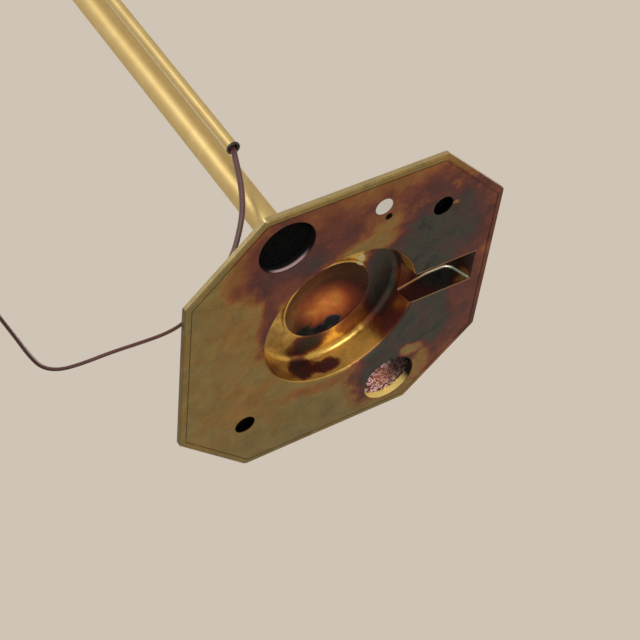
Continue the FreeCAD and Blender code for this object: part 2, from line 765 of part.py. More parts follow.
def swivel_washer():
    """The nylon washer under the knuckle."""
    z = RISER_TOP_Z + STUD_FLANGE_THICKNESS
    outer_r = KNUCKLE_R - SWIVEL_WASHER_INSET
    return ring(outer_r, STUD_NECK_R + SNUG, SWIVEL_WASHER_THICKNESS - SNUG, riser_axis_at(z))


def swivel_nut():
    """The thin hexagon nut inside the knuckle that keeps it on the stud."""
    z = KNUCKLE_Z + KNUCKLE_FLOOR + STANDOFF
    corner_r = SWIVEL_NUT_ACROSS / math.sqrt(3)
    corners = [polar(corner_r, 60 * i) for i in range(7)]
    wire = Part.makePolygon([Vector(RISER_OFFSET + x, y, z) for x, y in corners])
    nut = Part.Face(wire).extrude(Vector(0, 0, SWIVEL_NUT_HEIGHT))
    return nut.cut(cylinder(STUD_NECK_R + SNUG, SWIVEL_NUT_HEIGHT, riser_axis_at(z)))


# Arm


def arm_knuckle():
    """The hollow knuckle that turns on the stud and holds the arm."""
    top_z = KNUCKLE_Z + KNUCKLE_HEIGHT
    inner_r = KNUCKLE_R - KNUCKLE_WALL
    shell = turned([
        (STUD_NECK_R + RUNNING, KNUCKLE_Z, 0), (KNUCKLE_R, KNUCKLE_Z, KNUCKLE_ROUND),
        (KNUCKLE_R, top_z, SOFT_ROUND), (inner_r, top_z, 0),
        (inner_r, KNUCKLE_Z + KNUCKLE_FLOOR, EDGE_ROUND),
        (STUD_NECK_R + RUNNING, KNUCKLE_Z + KNUCKLE_FLOOR, 0),
    ])
    socket = lying_along_x(turned([
        (0, inner_r + PAST, 0), (KNUCKLE_SOCKET_R, inner_r + PAST, 0),
        (KNUCKLE_SOCKET_R, KNUCKLE_SOCKET_REACH, EDGE_ROUND), (0, KNUCKLE_SOCKET_REACH, 0),
    ])).translated(Vector(0, 0, ARM_Z))
    bore = cylinder(ARM_R + SNUG, KNUCKLE_SOCKET_REACH + PAST, (0, 0, ARM_Z), (1, 0, 0))
    return shell.fuse(socket).cut(bore).translated(Vector(RISER_OFFSET, 0, 0))


def knuckle_cap():
    """The domed cap that closes the knuckle."""
    seat_z = KNUCKLE_Z + KNUCKLE_HEIGHT
    plug_r = KNUCKLE_R - KNUCKLE_WALL - SNUG
    plug_z = ARM_Z + ARM_R + PAST
    top_z = seat_z + KNUCKLE_CAP_HEIGHT
    cap = turned([
        (0, plug_z, 0), (plug_r, plug_z, SMALL_ROUND), (plug_r, seat_z, 0), (KNUCKLE_R, seat_z, SMALL_ROUND),
        (KNUCKLE_R, top_z, KNUCKLE_CAP_ROUND), (0, top_z, 0),
    ])
    return cap.translated(Vector(RISER_OFFSET, 0, 0))


def arm_tube():
    """The arm, from inside the knuckle's wall into the barrel."""
    start_x = RISER_OFFSET + KNUCKLE_R - KNUCKLE_WALL + STANDOFF
    return ring(ARM_R, ARM_R - ARM_WALL, ARM_END_X - start_x, (start_x, 0, ARM_Z), (1, 0, 0))


def arm_lead():
    """The lead inside the knuckle and the arm, up out of the stud and round into the arm."""
    bend_r = ARM_Z - STUD_TOP_Z - STANDOFF
    foot = Vector(RISER_OFFSET, 0, ARM_Z - bend_r)
    corner = Vector(RISER_OFFSET, 0, ARM_Z)
    bend_end = Vector(RISER_OFFSET + bend_r, 0, ARM_Z)
    far = Vector(ARM_END_X - STANDOFF, 0, ARM_Z)
    return swept([arc_between(foot, corner, bend_end), Part.makeLine(bend_end, far)], CORD_R, "arm_lead")


def arm_end_barrel():
    """The barrel on the arm's end, in which the fork's shank turns."""
    start_x = ARM_END_X - BARREL_GRIP
    body = lying_along_x(turned([
        (0, 0, 0), (BARREL_R, 0, BARREL_ROUND), (BARREL_R, BARREL_LENGTH, SMALL_ROUND), (0, BARREL_LENGTH, 0),
    ])).translated(Vector(start_x, 0, ARM_Z))
    shank_length = BARREL_LENGTH - BARREL_GRIP
    screw_foot = (ARM_END_X + shank_length / 2, 0, ARM_Z - BARREL_R - PAST)
    return body.cut([
        cylinder(ARM_R + SNUG, BARREL_GRIP, (start_x, 0, ARM_Z), (1, 0, 0)),
        cylinder(FORK_SHANK_R + RUNNING, shank_length + PAST, (ARM_END_X - EPS, 0, ARM_Z), (1, 0, 0)),
        cylinder(ROLL_SCREW_R + SNUG, BARREL_R, screw_foot),
    ])


def roll_screw():
    """The small screw under the barrel that keeps the fork's shank in."""
    x = ARM_END_X + (BARREL_LENGTH - BARREL_GRIP) / 2
    top_z = ARM_Z - FORK_SHANK_R - RUNNING - SNUG
    bottom_z = ARM_Z - BARREL_R + SCREW_SINK
    return cylinder(ROLL_SCREW_R, top_z - bottom_z, (x, 0, bottom_z))


# Fork and tilt joint


def head_fork():
    """The fork that turns in the arm's end and carries the head between its cheeks."""
    shank_x = ARM_END_X + STANDOFF
    flange_x = TILT_X - FORK_REACH - FORK_FLANGE
    shank = cylinder(FORK_SHANK_R, flange_x - shank_x, (shank_x, 0, ARM_Z), (1, 0, 0))
    flange = cylinder(BARREL_R, FORK_FLANGE, (flange_x, 0, ARM_Z), (1, 0, 0))
    cheeks = []
    for side in (-1, 1):
        y = FORK_GAP / 2 if side > 0 else -FORK_GAP / 2 - FORK_CHEEK
        eye = cylinder(FORK_EYE_R, FORK_CHEEK, (TILT_X, y, ARM_Z), (0, 1, 0))
        bar_x = flange_x + FORK_FLANGE / 2
        bar_corner = Vector(bar_x, y, ARM_Z - FORK_BAR_HEIGHT / 2)
        bar = Part.makeBox(TILT_X - bar_x, FORK_CHEEK, FORK_BAR_HEIGHT, bar_corner)
        cheeks.append(eye.fuse(bar))
    body = shank.fuse([flange] + cheeks)
    half_width = FORK_GAP / 2 + FORK_CHEEK + PAST
    return body.cut([
        cylinder(STUD_BORE_R, flange_x + FORK_FLANGE - shank_x, (shank_x, 0, ARM_Z), (1, 0, 0)),
        cylinder(TILT_PIN_R + SNUG, 2 * half_width, (TILT_X, -half_width, ARM_Z), (0, 1, 0)),
    ])


def tilt_pin():
    """The screw that the head tilts on."""
    face_y = -FORK_GAP / 2 - FORK_CHEEK
    end_y = FORK_GAP / 2 + FORK_CHEEK + STANDOFF + TILT_PIN_IN_KNOB
    head_y = face_y - TILT_HEAD_THICKNESS
    head = cylinder(TILT_HEAD_R, TILT_HEAD_THICKNESS, (TILT_X, head_y, ARM_Z), (0, 1, 0))
    shank = cylinder(TILT_PIN_R, end_y - face_y, (TILT_X, face_y, ARM_Z), (0, 1, 0))
    slot_corner = Vector(TILT_X - TILT_HEAD_R, head_y, ARM_Z - SCREW_SLOT / 2)
    slot = Part.makeBox(2 * TILT_HEAD_R, SCREW_SLOT, SCREW_SLOT, slot_corner)
    return head.fuse(shank).cut(slot)


def tilt_knob():
    """The fluted nut that tightens the tilt joint."""
    face_y = FORK_GAP / 2 + FORK_CHEEK + STANDOFF
    knob = fluted(TILT_KNOB_R, TILT_KNOB_LENGTH, TILT_KNOB_FLUTES, TILT_KNOB_FLUTE_R, EDGE_ROUND)
    knob = knob.cut(cylinder(TILT_PIN_R + RUNNING, TILT_KNOB_BORE))
    return knob.rotated(Vector(), Vector(1, 0, 0), -90).translated(Vector(TILT_X, face_y, ARM_Z))


def tilt_washers():
    """The two nylon washers between the knuckle's eye and the fork's cheeks."""
    inner_y = FORK_GAP / 2 - TILT_WASHER_THICKNESS - SNUG
    outer_r = TILT_EYE_R - TILT_WASHER_INSET
    washers = []
    for y in (inner_y, -inner_y - TILT_WASHER_THICKNESS):
        washers.append(ring(outer_r, TILT_PIN_R + RUNNING, TILT_WASHER_THICKNESS, (0, y, 0), (0, 1, 0)))
    return Part.makeCompound(washers)


# Head, built round a tilt axis at the origin and moved to the arm's end afterwards


def head_knuckle():
    """The eye and neck between the tilt joint and the socket cap."""
    eye_width = FORK_GAP - 2 * (TILT_WASHER_THICKNESS + SNUG)
    eye = cylinder(TILT_EYE_R, eye_width, (0, -eye_width / 2, 0), (0, 1, 0))
    flange_top_z = CAP_TOP_Z + NECK_FLANGE_THICKNESS
    neck = turned([
        (0, CAP_TOP_Z, 0), (NECK_FLANGE_R, CAP_TOP_Z, 0), (NECK_FLANGE_R, flange_top_z, SOFT_ROUND),
        (NECK_R, flange_top_z, 0), (NECK_R, -NECK_DROP, 0), (0, -NECK_DROP, 0),
    ])
    bar_corner = Vector(-NIPPLE_R, -eye_width / 2, -NECK_DROP - PAST)
    bar = Part.makeBox(2 * NIPPLE_R, eye_width, NECK_DROP + PAST, bar_corner)
    nipple = cylinder(NIPPLE_R, CAP_TOP_Z - NIPPLE_END_Z, (0, 0, NIPPLE_END_Z))
    body = eye.fuse([bar, neck, nipple])
    hole_y = eye_width / 2 + PAST
    return body.cut([
        cylinder(TILT_PIN_R + RUNNING, 2 * hole_y, (0, -hole_y, 0), (0, 1, 0)),
        cylinder(STUD_BORE_R, -NECK_DROP - 2 * PAST - NIPPLE_END_Z, (0, 0, NIPPLE_END_Z)),
    ])


def socket_cap():
    """The brass cup over the socket and the switch."""
    under_z = CAP_TOP_Z - SOCKET_CAP_WALL
    inner_r = SOCKET_CAP_R - SOCKET_CAP_WALL
    hole_r = NIPPLE_R + SNUG
    cup = turned([
        (hole_r, CAP_TOP_Z, 0), (SOCKET_CAP_R, CAP_TOP_Z, SOCKET_CAP_ROUND), (SOCKET_CAP_R, CAP_RIM_Z, 0),
        (inner_r, CAP_RIM_Z, 0), (inner_r, under_z, SOCKET_CAP_ROUND - SOCKET_CAP_WALL), (hole_r, under_z, 0),
    ])
    return cup.cut(cylinder(SWITCH_THREAD_R + SNUG, SOCKET_CAP_R + PAST, (0, 0, SWITCH_Z), (1, 0, 0)))


def switch_body():
    """The rotary switch inside the cap, its threaded neck and its shaft."""
    front_x = SOCKET_CAP_R - SOCKET_CAP_WALL - SWITCH_BEHIND_WALL
    neck_length = SOCKET_CAP_R + SWITCH_NUT_THICKNESS - front_x
    back = (front_x - SWITCH_BODY_LENGTH, 0, SWITCH_Z)
    body = cylinder(SWITCH_BODY_R, SWITCH_BODY_LENGTH, back, (1, 0, 0))
    return body.fuse(cylinder(SWITCH_THREAD_R, neck_length, (front_x, 0, SWITCH_Z), (1, 0, 0)))


def switch_nut():
    """The thin round nut that holds the switch in the cap."""
    flat = SOCKET_CAP_R + SNUG
    nut = ring(SWITCH_NUT_R, SWITCH_THREAD_R + SNUG, SWITCH_NUT_THICKNESS, (flat, 0, SWITCH_Z), (1, 0, 0))
    return nut.cut(cylinder(SOCKET_CAP_R + SNUG, CAP_TOP_Z - CAP_RIM_Z, (0, 0, CAP_RIM_Z)))


def switch_knob():
    """The fluted knob and shaft that turn the switch."""
    start_x = SOCKET_CAP_R + SNUG + SWITCH_NUT_THICKNESS + STANDOFF
    knob = fluted(SWITCH_KNOB_R, SWITCH_KNOB_LENGTH, SWITCH_KNOB_FLUTES, SWITCH_KNOB_FLUTE_R, EDGE_ROUND)
    return lying_along_x(knob).translated(Vector(start_x, 0, SWITCH_Z))


def socket_body():
    """The insulating body that holds the screw shell."""
    bore_end_z = SOCKET_BOTTOM_Z + SOCKET_BORE_DEPTH
    return turned([
        (0, SOCKET_TOP_Z, 0), (SOCKET_BODY_R, SOCKET_TOP_Z, EDGE_ROUND),
        (SOCKET_BODY_R, SOCKET_BOTTOM_Z, SOFT_ROUND), (SOCKET_BORE_R, SOCKET_BOTTOM_Z, SMALL_ROUND),
        (SOCKET_BORE_R, bore_end_z, 0), (0, bore_end_z, 0),
    ])


def socket_shell():
    """The brass screw shell."""
    z = SOCKET_BOTTOM_Z + SOCKET_BORE_DEPTH - SHELL_LENGTH - CONTACT_THICKNESS
    return ring(SOCKET_BORE_R - SNUG, SOCKET_BORE_R - SNUG - SHELL_WALL, SHELL_LENGTH, (0, 0, z))


def socket_contact():
    """The centre contact at the socket's inner end."""
    z = SOCKET_BOTTOM_Z + SOCKET_BORE_DEPTH - CONTACT_THICKNESS
    return cylinder(CONTACT_R, CONTACT_THICKNESS, (0, 0, z))


def socket_leads():
    """The two insulated wires from the neck past the switch to the socket."""
    start_z = NIPPLE_END_Z - 2 * SNUG
    end_z = SOCKET_TOP_Z + 2 * SNUG
    third = (start_z - end_z) / 3
    leads = []
    for side in (-1, 1):
        inside = (-STUD_BORE_R, side * WIRE_START_SPREAD)
        outside = (-STUD_BORE_R - WIRE_STEP_ASIDE, side * WIRE_SPREAD)
        points = [
            (*inside, start_z),
            (*inside, start_z - third),
            (*outside, end_z + third),
            (*outside, end_z),
        ]
        leads.append(tube_along(points, WIRE_R, "socket_leads"))
    return Part.makeCompound(leads)


def shade():
    """The spun dome shade with a beaded mouth."""
    top_z = CAP_RIM_Z - SNUG
    under_z = top_z - SHADE_WALL
    mouth_z = top_z - SHADE_DEPTH
    hole_r = SOCKET_BODY_R + RUNNING
    belly_z = top_z - SHADE_BELLY_DROP
    thinner_r = SHADE_WALL * SHADE_LEAN
    thinner_z = SHADE_WALL * math.sqrt(1 - SHADE_LEAN**2)
    outer = [
        Vector(SHADE_TOP_R, 0, top_z),
        Vector(SHADE_BELLY_R, 0, belly_z),
        Vector(SHADE_MOUTH_R, 0, mouth_z),
    ]
    inner = [
        Vector(SHADE_TOP_R, 0, under_z),
        Vector(SHADE_BELLY_R - thinner_r, 0, belly_z - thinner_z),
        Vector(SHADE_MOUTH_R - SHADE_WALL, 0, mouth_z),
    ]
    edges = [
        Part.makeLine(Vector(hole_r, 0, top_z), outer[0]),
        Part.Arc(*outer).toShape(),
        Part.makeLine(outer[2], inner[2]),
        Part.Arc(inner[2], inner[1], inner[0]).toShape(),
        Part.makeLine(inner[0], Vector(hole_r, 0, under_z)),
        Part.makeLine(Vector(hole_r, 0, under_z), Vector(hole_r, 0, top_z)),
    ]
    dome = Part.Face(Part.Wire(edges)).revolve(Vector(), Vector(0, 0, 1), 360)
    bead = Part.makeTorus(SHADE_MOUTH_R - SHADE_WALL / 2, SHADE_BEAD_R, Vector(0, 0, mouth_z))
    return dome.fuse(bead)


def shade_ring():
    """The ring nut that clamps the shade against the cap."""
    top_z = CAP_RIM_Z - SHADE_WALL - 2 * SNUG
    return turned([
        (SOCKET_BODY_R + SNUG, top_z, 0), (SHADE_RING_R, top_z, SMALL_ROUND),
        (SHADE_RING_R, top_z - SHADE_RING_HEIGHT, SOFT_ROUND),
        (SOCKET_BODY_R + SNUG, top_z - SHADE_RING_HEIGHT, 0),
    ])


def bulb_top_z():
    """Where the bulb's tip meets the centre contact."""
    return SOCKET_BOTTOM_Z + SOCKET_BORE_DEPTH - CONTACT_THICKNESS - SNUG


def bulb_cap():
    """The bulb's screw cap with its contact tip."""
    top_z = bulb_top_z()
    shoulder_z = top_z - BULB_TIP_HEIGHT
    return turned([
        (0, top_z, 0), (BULB_TIP_R, top_z, SMALL_ROUND), (BULB_TIP_R, shoulder_z, 0),
        (BULB_CAP_R, shoulder_z, BULB_CAP_ROUND), (BULB_CAP_R, shoulder_z - BULB_CAP_LENGTH, 0),
        (0, shoulder_z - BULB_CAP_LENGTH, 0),
    ])


def bulb_form(shrink):
    """The bulb's outer form, or its inside where shrink is the glass's thickness."""
    neck_z = bulb_top_z() - BULB_TIP_HEIGHT - BULB_CAP_LENGTH
    centre_z = bulb_top_z() - BULB_LENGTH + BULB_R
    globe_r = BULB_R - shrink
    neck_r = BULB_CAP_R - BULB_GLASS_IN_CAP - shrink
    throat_z = centre_z + globe_r * BULB_THROAT_START
    throat = Part.makeCone(globe_r * BULB_THROAT_SHARE, neck_r, neck_z - throat_z, Vector(0, 0, throat_z))
    return Part.makeSphere(globe_r, Vector(0, 0, centre_z)).fuse(throat)


def bulb_glass():
    """The bulb's glass envelope."""
    return bulb_form(0).cut(bulb_form(BULB_GLASS))


# Cord


def coil_point(turns):
    """A point of the coil's path: it spirals in and out layer by layer, and climbs about each reversal."""
    layer = min(int(turns / COIL_LAYER_TURNS), COIL_LAYERS - 1)
    wound = turns - layer * COIL_LAYER_TURNS
    inward = wound if layer % 2 == 0 else COIL_LAYER_TURNS - wound
    height = 0.0
    for i in range(1, COIL_LAYERS):
        share = (turns - i * COIL_LAYER_TURNS) / COIL_CLIMB_TURNS + 0.5
        share = min(max(share, 0.0), 1.0)
        height += COIL_PITCH * share**2 * (3 - 2 * share)
    radius = COIL_OUTER_R - COIL_PITCH * inward
    angle = math.radians(COIL_START_DEG) - 2 * math.pi * turns
    return Vector(
        COIL_X + radius * math.cos(angle),
        COIL_Y + radius * math.sin(angle),
        CORD_LIFT + CORD_R + height,
    )


def biarc(start, start_dir, end, end_dir):
    """Two arcs from start to end that leave and arrive along the given directions."""
    across = end - start
    both = start_dir + end_dir
    bend = 2 * (1 - start_dir.dot(end_dir))
    along = across.dot(both)
    reach = (math.sqrt(along**2 + bend * across.dot(across)) - along) / bend
    first_corner = start + start_dir * reach
    second_corner = end - end_dir * reach
    joint = (first_corner + second_corner) / 2
    return [arc_between(start, first_corner, joint), arc_between(joint, second_corner, end)]


def coil_direction(turns, step=1e-4):
    """The unit tangent of the coil's path."""
    return (coil_point(turns + step) - coil_point(turns - step)).normalize()


def coil_stations():
    """The coil's quarter-turn points with their tangents."""
    count = round(COIL_TURNS * 4)
    stations = [COIL_TURNS * i / count for i in range(count + 1)]
    return [coil_point(t) for t in stations], [coil_direction(t) for t in stations]


def coil_ends():
    """Where the coil's straight ends meet the free cord."""
    points, tangents = coil_stations()
    return points[0] - tangents[0] * 2 * CORD_R, points[-1] + tangents[-1] * 2 * CORD_R


def cord_coil():
    """The cord put away: one unbroken tube in four layers."""
    points, tangents = coil_stations()
    first, last = coil_ends()
    edges = [Part.makeLine(first, points[0])]
    for i in range(len(points) - 1):
        edges += biarc(points[i], tangents[i], points[i + 1], tangents[i + 1])
    edges.append(Part.makeLine(points[-1], last))
    coil = swept(edges, CORD_R, "cord_coil")
    samples = Part.Wire(edges).discretize(Distance=2.0)
    apart = 3 * math.pi * CORD_R / 2.0
    least = min(
        samples[i].distanceToPoint(samples[j])
        for i in range(len(samples))
        for j in range(i + int(apart), len(samples))
    )
    print(f"cord_coil: least gap to itself {least - 2 * CORD_R:.2f} mm")
    return coil


def cord_run():
    """The free cord from the bush to the coil."""
    first, _ = coil_ends()
    _, tangents = coil_stations()
    approach = first - tangents[0] * COIL_APPROACH
    points = CORD_ROUTE + [tuple(approach), tuple(first)]
    return tube_along(points, CORD_R, "cord_run")


def plug_frame():
    """The point where the cord enters the plug, and the direction in which the plug lies."""
    _, last = coil_ends()
    _, tangents = coil_stations()
    ahead = tangents[-1]
    side = Vector(ahead.y, -ahead.x, 0)
    entry = last + ahead * TAIL_REACH - side * TAIL_SHIFT
    entry.z = PLUG_THICKNESS / 2
    return entry, (ahead - side * TAIL_TURN).normalize()


def cord_tail():
    """The last stretch, from the coil's top layer down to the plug."""
    _, last = coil_ends()
    _, tangents = coil_stations()
    entry, ahead = plug_frame()
    middle = (last + entry) / 2
    points = [
        tuple(last),
        tuple(last + tangents[-1] * TAIL_START_RUN),
        tuple(middle + Vector(0, 0, TAIL_HUMP)),
        tuple(entry - ahead * TAIL_END_RUN),
        tuple(entry),
    ]
    return tube_along(points, CORD_R, "cord_tail")


def lay_along(shape, origin, ahead):
    """Moves a shape built along +X from the origin to a point, turned to lie along a direction."""
    angle = math.degrees(math.atan2(ahead.y, ahead.x))
    return shape.rotated(Vector(), Vector(0, 0, 1), angle).translated(origin)


def plug_body():
    """The moulded plug, slimmer where the cord enters."""
    def section(x, half_width, half_height):
        corner_round = min(PLUG_ROUND, half_height * PLUG_ROUND_SHARE)
        signs = [(-1, -1), (1, -1), (1, 1), (-1, 1)]
        points = [(u * half_width, v * half_height, corner_round) for u, v in signs]
        return rounded_wire(points, lambda u, v: Vector(x, u, v))

    half_w, half_h = PLUG_WIDTH / 2, PLUG_THICKNESS / 2
    body = ruled(
        section(0, CORD_R + PLUG_TAPER, CORD_R + PLUG_TAPER * PLUG_ROUND_SHARE),
        section(PLUG_GRIP_X, half_w * PLUG_WAIST, half_h * PLUG_WAIST),
        section(PLUG_FULL_X, half_w, half_h),
        section(PLUG_LENGTH, half_w, half_h),
    )
    entry, ahead = plug_frame()
    return lay_along(body, entry, ahead)


def plug_blades():
    """The plug's two flat blades."""
    blades = []
    for side in (-1, 1):
        corner = Vector(PLUG_LENGTH, side * BLADE_SPACING / 2 - BLADE_THICKNESS / 2, -BLADE_WIDTH / 2)
        blades.append(Part.makeBox(BLADE_LENGTH, BLADE_THICKNESS, BLADE_WIDTH, corner))
    entry, ahead = plug_frame()
    return lay_along(Part.makeCompound(blades), entry, ahead)


def cord_tie():
    """The flat tie round the coil's bundle, which the coil rests on."""
    inner_x = math.sqrt((COIL_INNER_R - CORD_R) ** 2 - (TIE_WIDTH / 2) ** 2) - TIE_GAP
    outer_x = COIL_OUTER_R + CORD_R + TIE_GAP
    top = CORD_LIFT + 2 * CORD_R + COIL_HEIGHT + TIE_GAP

    def loop(grow, corner_round):
        corners = [
            (inner_x - grow, TIE_THICKNESS - grow), (outer_x + grow, TIE_THICKNESS - grow),
            (outer_x + grow, top + grow), (inner_x - grow, top + grow),
        ]
        points = [(u, v, corner_round) for u, v in corners]
        wire = rounded_wire(points, lambda u, v: Vector(u, -TIE_WIDTH / 2, v))
        return Part.Face(wire).extrude(Vector(0, TIE_WIDTH, 0))

    band = loop(TIE_THICKNESS, TIE_ROUND + TIE_THICKNESS).cut(loop(0, TIE_ROUND))
    return band.rotated(Vector(), Vector(0, 0, 1), TIE_ANGLE_DEG).translated(Vector(COIL_X, COIL_Y, 0))


# The whole lamp

BASE_PARTS = {
    "base_casting": base_casting,
    "ballast_fill": ballast_fill,
    "round_label": round_label,
    "post_spigot": post_spigot,
    "post_foot_collar": post_foot_collar,
    "post_tube": post_tube,
    "post_cap": post_cap,
    "cord_run": cord_run,
    "cord_coil": cord_coil,
    "cord_tie": cord_tie,
    "cord_tail": cord_tail,
    "plug_body": plug_body,
    "plug_blades": plug_blades,
}

UPPER_PARTS = {
    "guide_bracket": lambda: bracket(GUIDE_RING, GUIDE_EAR, GUIDE_HEIGHT, GUIDE_Z),
    "guide_liner": lambda: liner(GUIDE_HEIGHT, GUIDE_Z),
    "guide_screw": lambda: fixing_screw(POST_R + GUIDE_RING, GUIDE_Z + GUIDE_HEIGHT / 2),
    "clamp_block": clamp_block,
    "clamp_liner": clamp_liner,
    "clamp_screw": lambda: fixing_screw(POST_R + CLAMP_RING, CLAMP_Z + CLAMP_HEIGHT / 2),
    "clamp_pad": clamp_pad,
    "clamp_knob": clamp_knob,
    "riser_tube": riser_tube,
    "riser_bush": riser_bush,
    "stop_collar": stop_collar,
    "stop_collar_screw": stop_collar_screw,
    "riser_lead": riser_lead,
    "swivel_stud": swivel_stud,
    "swivel_washer": swivel_washer,
    "swivel_nut": swivel_nut,
    "arm_knuckle": arm_knuckle,
    "knuckle_cap": knuckle_cap,
    "arm_tube": arm_tube,
    "arm_lead": arm_lead,
    "arm_end_barrel": arm_end_barrel,
    "roll_screw": roll_screw,
    "head_fork": head_fork,
    "tilt_pin": tilt_pin,
    "tilt_knob": tilt_knob,
}

HEAD_PARTS = {
    "tilt_washers": tilt_washers,
    "head_knuckle": head_knuckle,
    "socket_cap": socket_cap,
    "switch_body": switch_body,
    "switch_nut": switch_nut,
    "switch_knob": switch_knob,
    "socket_body": socket_body,
    "socket_shell": socket_shell,
    "socket_contact": socket_contact,
    "socket_leads": socket_leads,
    "shade": shade,
    "shade_ring": shade_ring,
    "bulb_cap": bulb_cap,
    "bulb_glass": bulb_glass,
}


def turn_upper(shape):
    """Turns a shape built towards +X to the side of the post where the riser stands."""
    return shape.rotated(Vector(), Vector(0, 0, 1), RISER_AZIMUTH_DEG)


def main():
    os.makedirs("parts", exist_ok=True)
    shapes = {name: make() for name, make in BASE_PARTS.items()}
    shapes.update({name: turn_upper(make()) for name, make in UPPER_PARTS.items()})
    at_head = Vector(TILT_X, 0, ARM_Z)
    shapes.update({name: turn_upper(make().translated(at_head)) for name, make in HEAD_PARTS.items()})
    for name, shape in shapes.items():
        shape.exportStep(f"parts/{name}.step")
        box = shape.BoundBox
        print(
            f"{name}: {len(shape.Solids)} solid(s), valid {shape.isValid()}, {shape.Volume / 1000:.2f} cm3,"
            f" z {box.ZMin:.1f} to {box.ZMax:.1f}"
        )


main()
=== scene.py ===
# %% [markdown]
# # A brass floor lamp, seen from underneath
# The lamp stands upright, as it does in use. The photograph shows it lying down with the underside of its
# base towards us, so here the camera is below the floor and looks up. Every length is in metres, in the
# frame of the CAD model, except in the materials, which count in millimetres because marks on metal are
# that size.

# %% Load the CAD model
import json
import math

import bmesh
import bpy
from mathutils import Matrix, Vector


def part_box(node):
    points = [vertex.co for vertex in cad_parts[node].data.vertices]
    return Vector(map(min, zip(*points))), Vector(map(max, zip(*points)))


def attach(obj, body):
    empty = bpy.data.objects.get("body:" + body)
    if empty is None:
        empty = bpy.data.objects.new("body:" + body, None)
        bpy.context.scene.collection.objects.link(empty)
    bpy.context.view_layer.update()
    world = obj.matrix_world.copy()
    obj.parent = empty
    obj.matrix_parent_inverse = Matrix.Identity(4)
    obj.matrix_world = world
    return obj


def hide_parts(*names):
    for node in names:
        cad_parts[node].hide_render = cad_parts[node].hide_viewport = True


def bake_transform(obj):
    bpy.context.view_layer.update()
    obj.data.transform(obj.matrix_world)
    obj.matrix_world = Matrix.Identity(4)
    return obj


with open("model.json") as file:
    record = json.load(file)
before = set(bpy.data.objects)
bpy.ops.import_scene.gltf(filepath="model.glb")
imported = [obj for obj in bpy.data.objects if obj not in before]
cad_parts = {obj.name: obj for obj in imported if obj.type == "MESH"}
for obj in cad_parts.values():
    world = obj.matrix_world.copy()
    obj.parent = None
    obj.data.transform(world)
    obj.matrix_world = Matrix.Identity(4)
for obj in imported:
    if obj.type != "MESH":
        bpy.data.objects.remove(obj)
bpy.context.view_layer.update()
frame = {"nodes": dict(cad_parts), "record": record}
scene = bpy.context.scene
nodes = frame["nodes"]
print("CAD nodes:", len(nodes))

# %% [markdown]
# ## The camera
# The octagon of the base, its two pairs of holes and the two tubes fix where the photograph was taken
# from. The lens is long, so the lamp shows little perspective.

# %% Camera
CAMERA_PLACE = (-0.54598, -0.97622, -0.68961)
CAMERA_ANGLES_DEG = (128.521, 31.548, -5.871)
CAMERA_LENS_MM = 95.776
SENSOR_MM = 36.0

camera_data = bpy.data.cameras.new("photo_camera")
camera_data.lens = CAMERA_LENS_MM
camera_data.sensor_width = SENSOR_MM
camera = bpy.data.objects.new("photo_camera", camera_data)
camera.location = CAMERA_PLACE
camera.rotation_euler = [math.radians(a) for a in CAMERA_ANGLES_DEG]
scene.collection.objects.link(camera)
scene.camera = camera
scene.view_settings.view_transform = "Standard"
bpy.context.view_layer.update()
VIEW_DIRECTION = camera.matrix_world.to_3x3() @ Vector((0, 0, -1))
print("camera looks along", [round(v, 3) for v in VIEW_DIRECTION])

# %% [markdown]
# ## Helpers for shader nodes
# A material is a small graph. These helpers add a node, link it and give back what it puts out, so that
# each material below reads like a sum.


# %% Shader helpers
def add(tree, kind, inputs=None, **settings):
    """Adds a node. Each input is a plain value, or a socket to link it to."""
    made = tree.nodes.new(kind)
    for name, value in settings.items():
        setattr(made, name, value)
    for name, value in (inputs or {}).items():
        if isinstance(value, bpy.types.NodeSocket):
            tree.links.new(value, made.inputs[name])
        else:
            made.inputs[name].default_value = value
    return made


def calc(tree, operation, first, second=0.0, clamp=False):
    """One sum of two numbers."""
    made = add(tree, "ShaderNodeMath", {0: first, 1: second}, operation=operation, use_clamp=clamp)
    return made.outputs[0]


def times(tree, first, second):
    """Two numbers multiplied."""
    return calc(tree, "MULTIPLY", first, second)


def vector_calc(tree, operation, first, second=(0, 0, 0)):
    """One sum of two vectors."""
    made = add(tree, "ShaderNodeVectorMath", {0: first, 1: second}, operation=operation)
    return made.outputs[1] if operation in ("LENGTH", "DISTANCE", "DOT_PRODUCT") else made.outputs[0]


def split(tree, vector):
    """The three numbers of a vector."""
    return add(tree, "ShaderNodeSeparateXYZ", {0: vector}).outputs


def fade(tree, value, low, high):
    """0 below low, 1 above high, and smooth between them; high may be the smaller."""
    made = add(tree, "ShaderNodeMapRange", {0: value, 1: low, 2: high}, interpolation_type="SMOOTHSTEP")
    return made.outputs[0]


def mix(tree, share, first, second):
    """Mixes two colours."""
    made = add(tree, "ShaderNodeMix", {0: share, 6: first, 7: second}, data_type="RGBA")
    return made.outputs[2]


def noise(tree, point, scale, detail=3.0, distortion=0.0, roughness=0.5):
    """Smooth noise from 0 to 1 with features about 1/scale across."""
    inputs = {
        "Vector": point, "Scale": scale, "Detail": detail, "Distortion": distortion, "Roughness": roughness,
    }
    return add(tree, "ShaderNodeTexNoise", inputs).outputs["Fac"]


def dim(tree, colour, share):
    """A colour made darker or brighter by a share, or a vector made shorter or longer."""
    return add(tree, "ShaderNodeVectorMath", {0: colour, "Scale": share}, operation="SCALE").outputs[0]


def mix_value(tree, share, first, second):
    """Mixes two numbers."""
    return add(tree, "ShaderNodeMix", {0: share, 2: first, 3: second}, data_type="FLOAT").outputs[0]


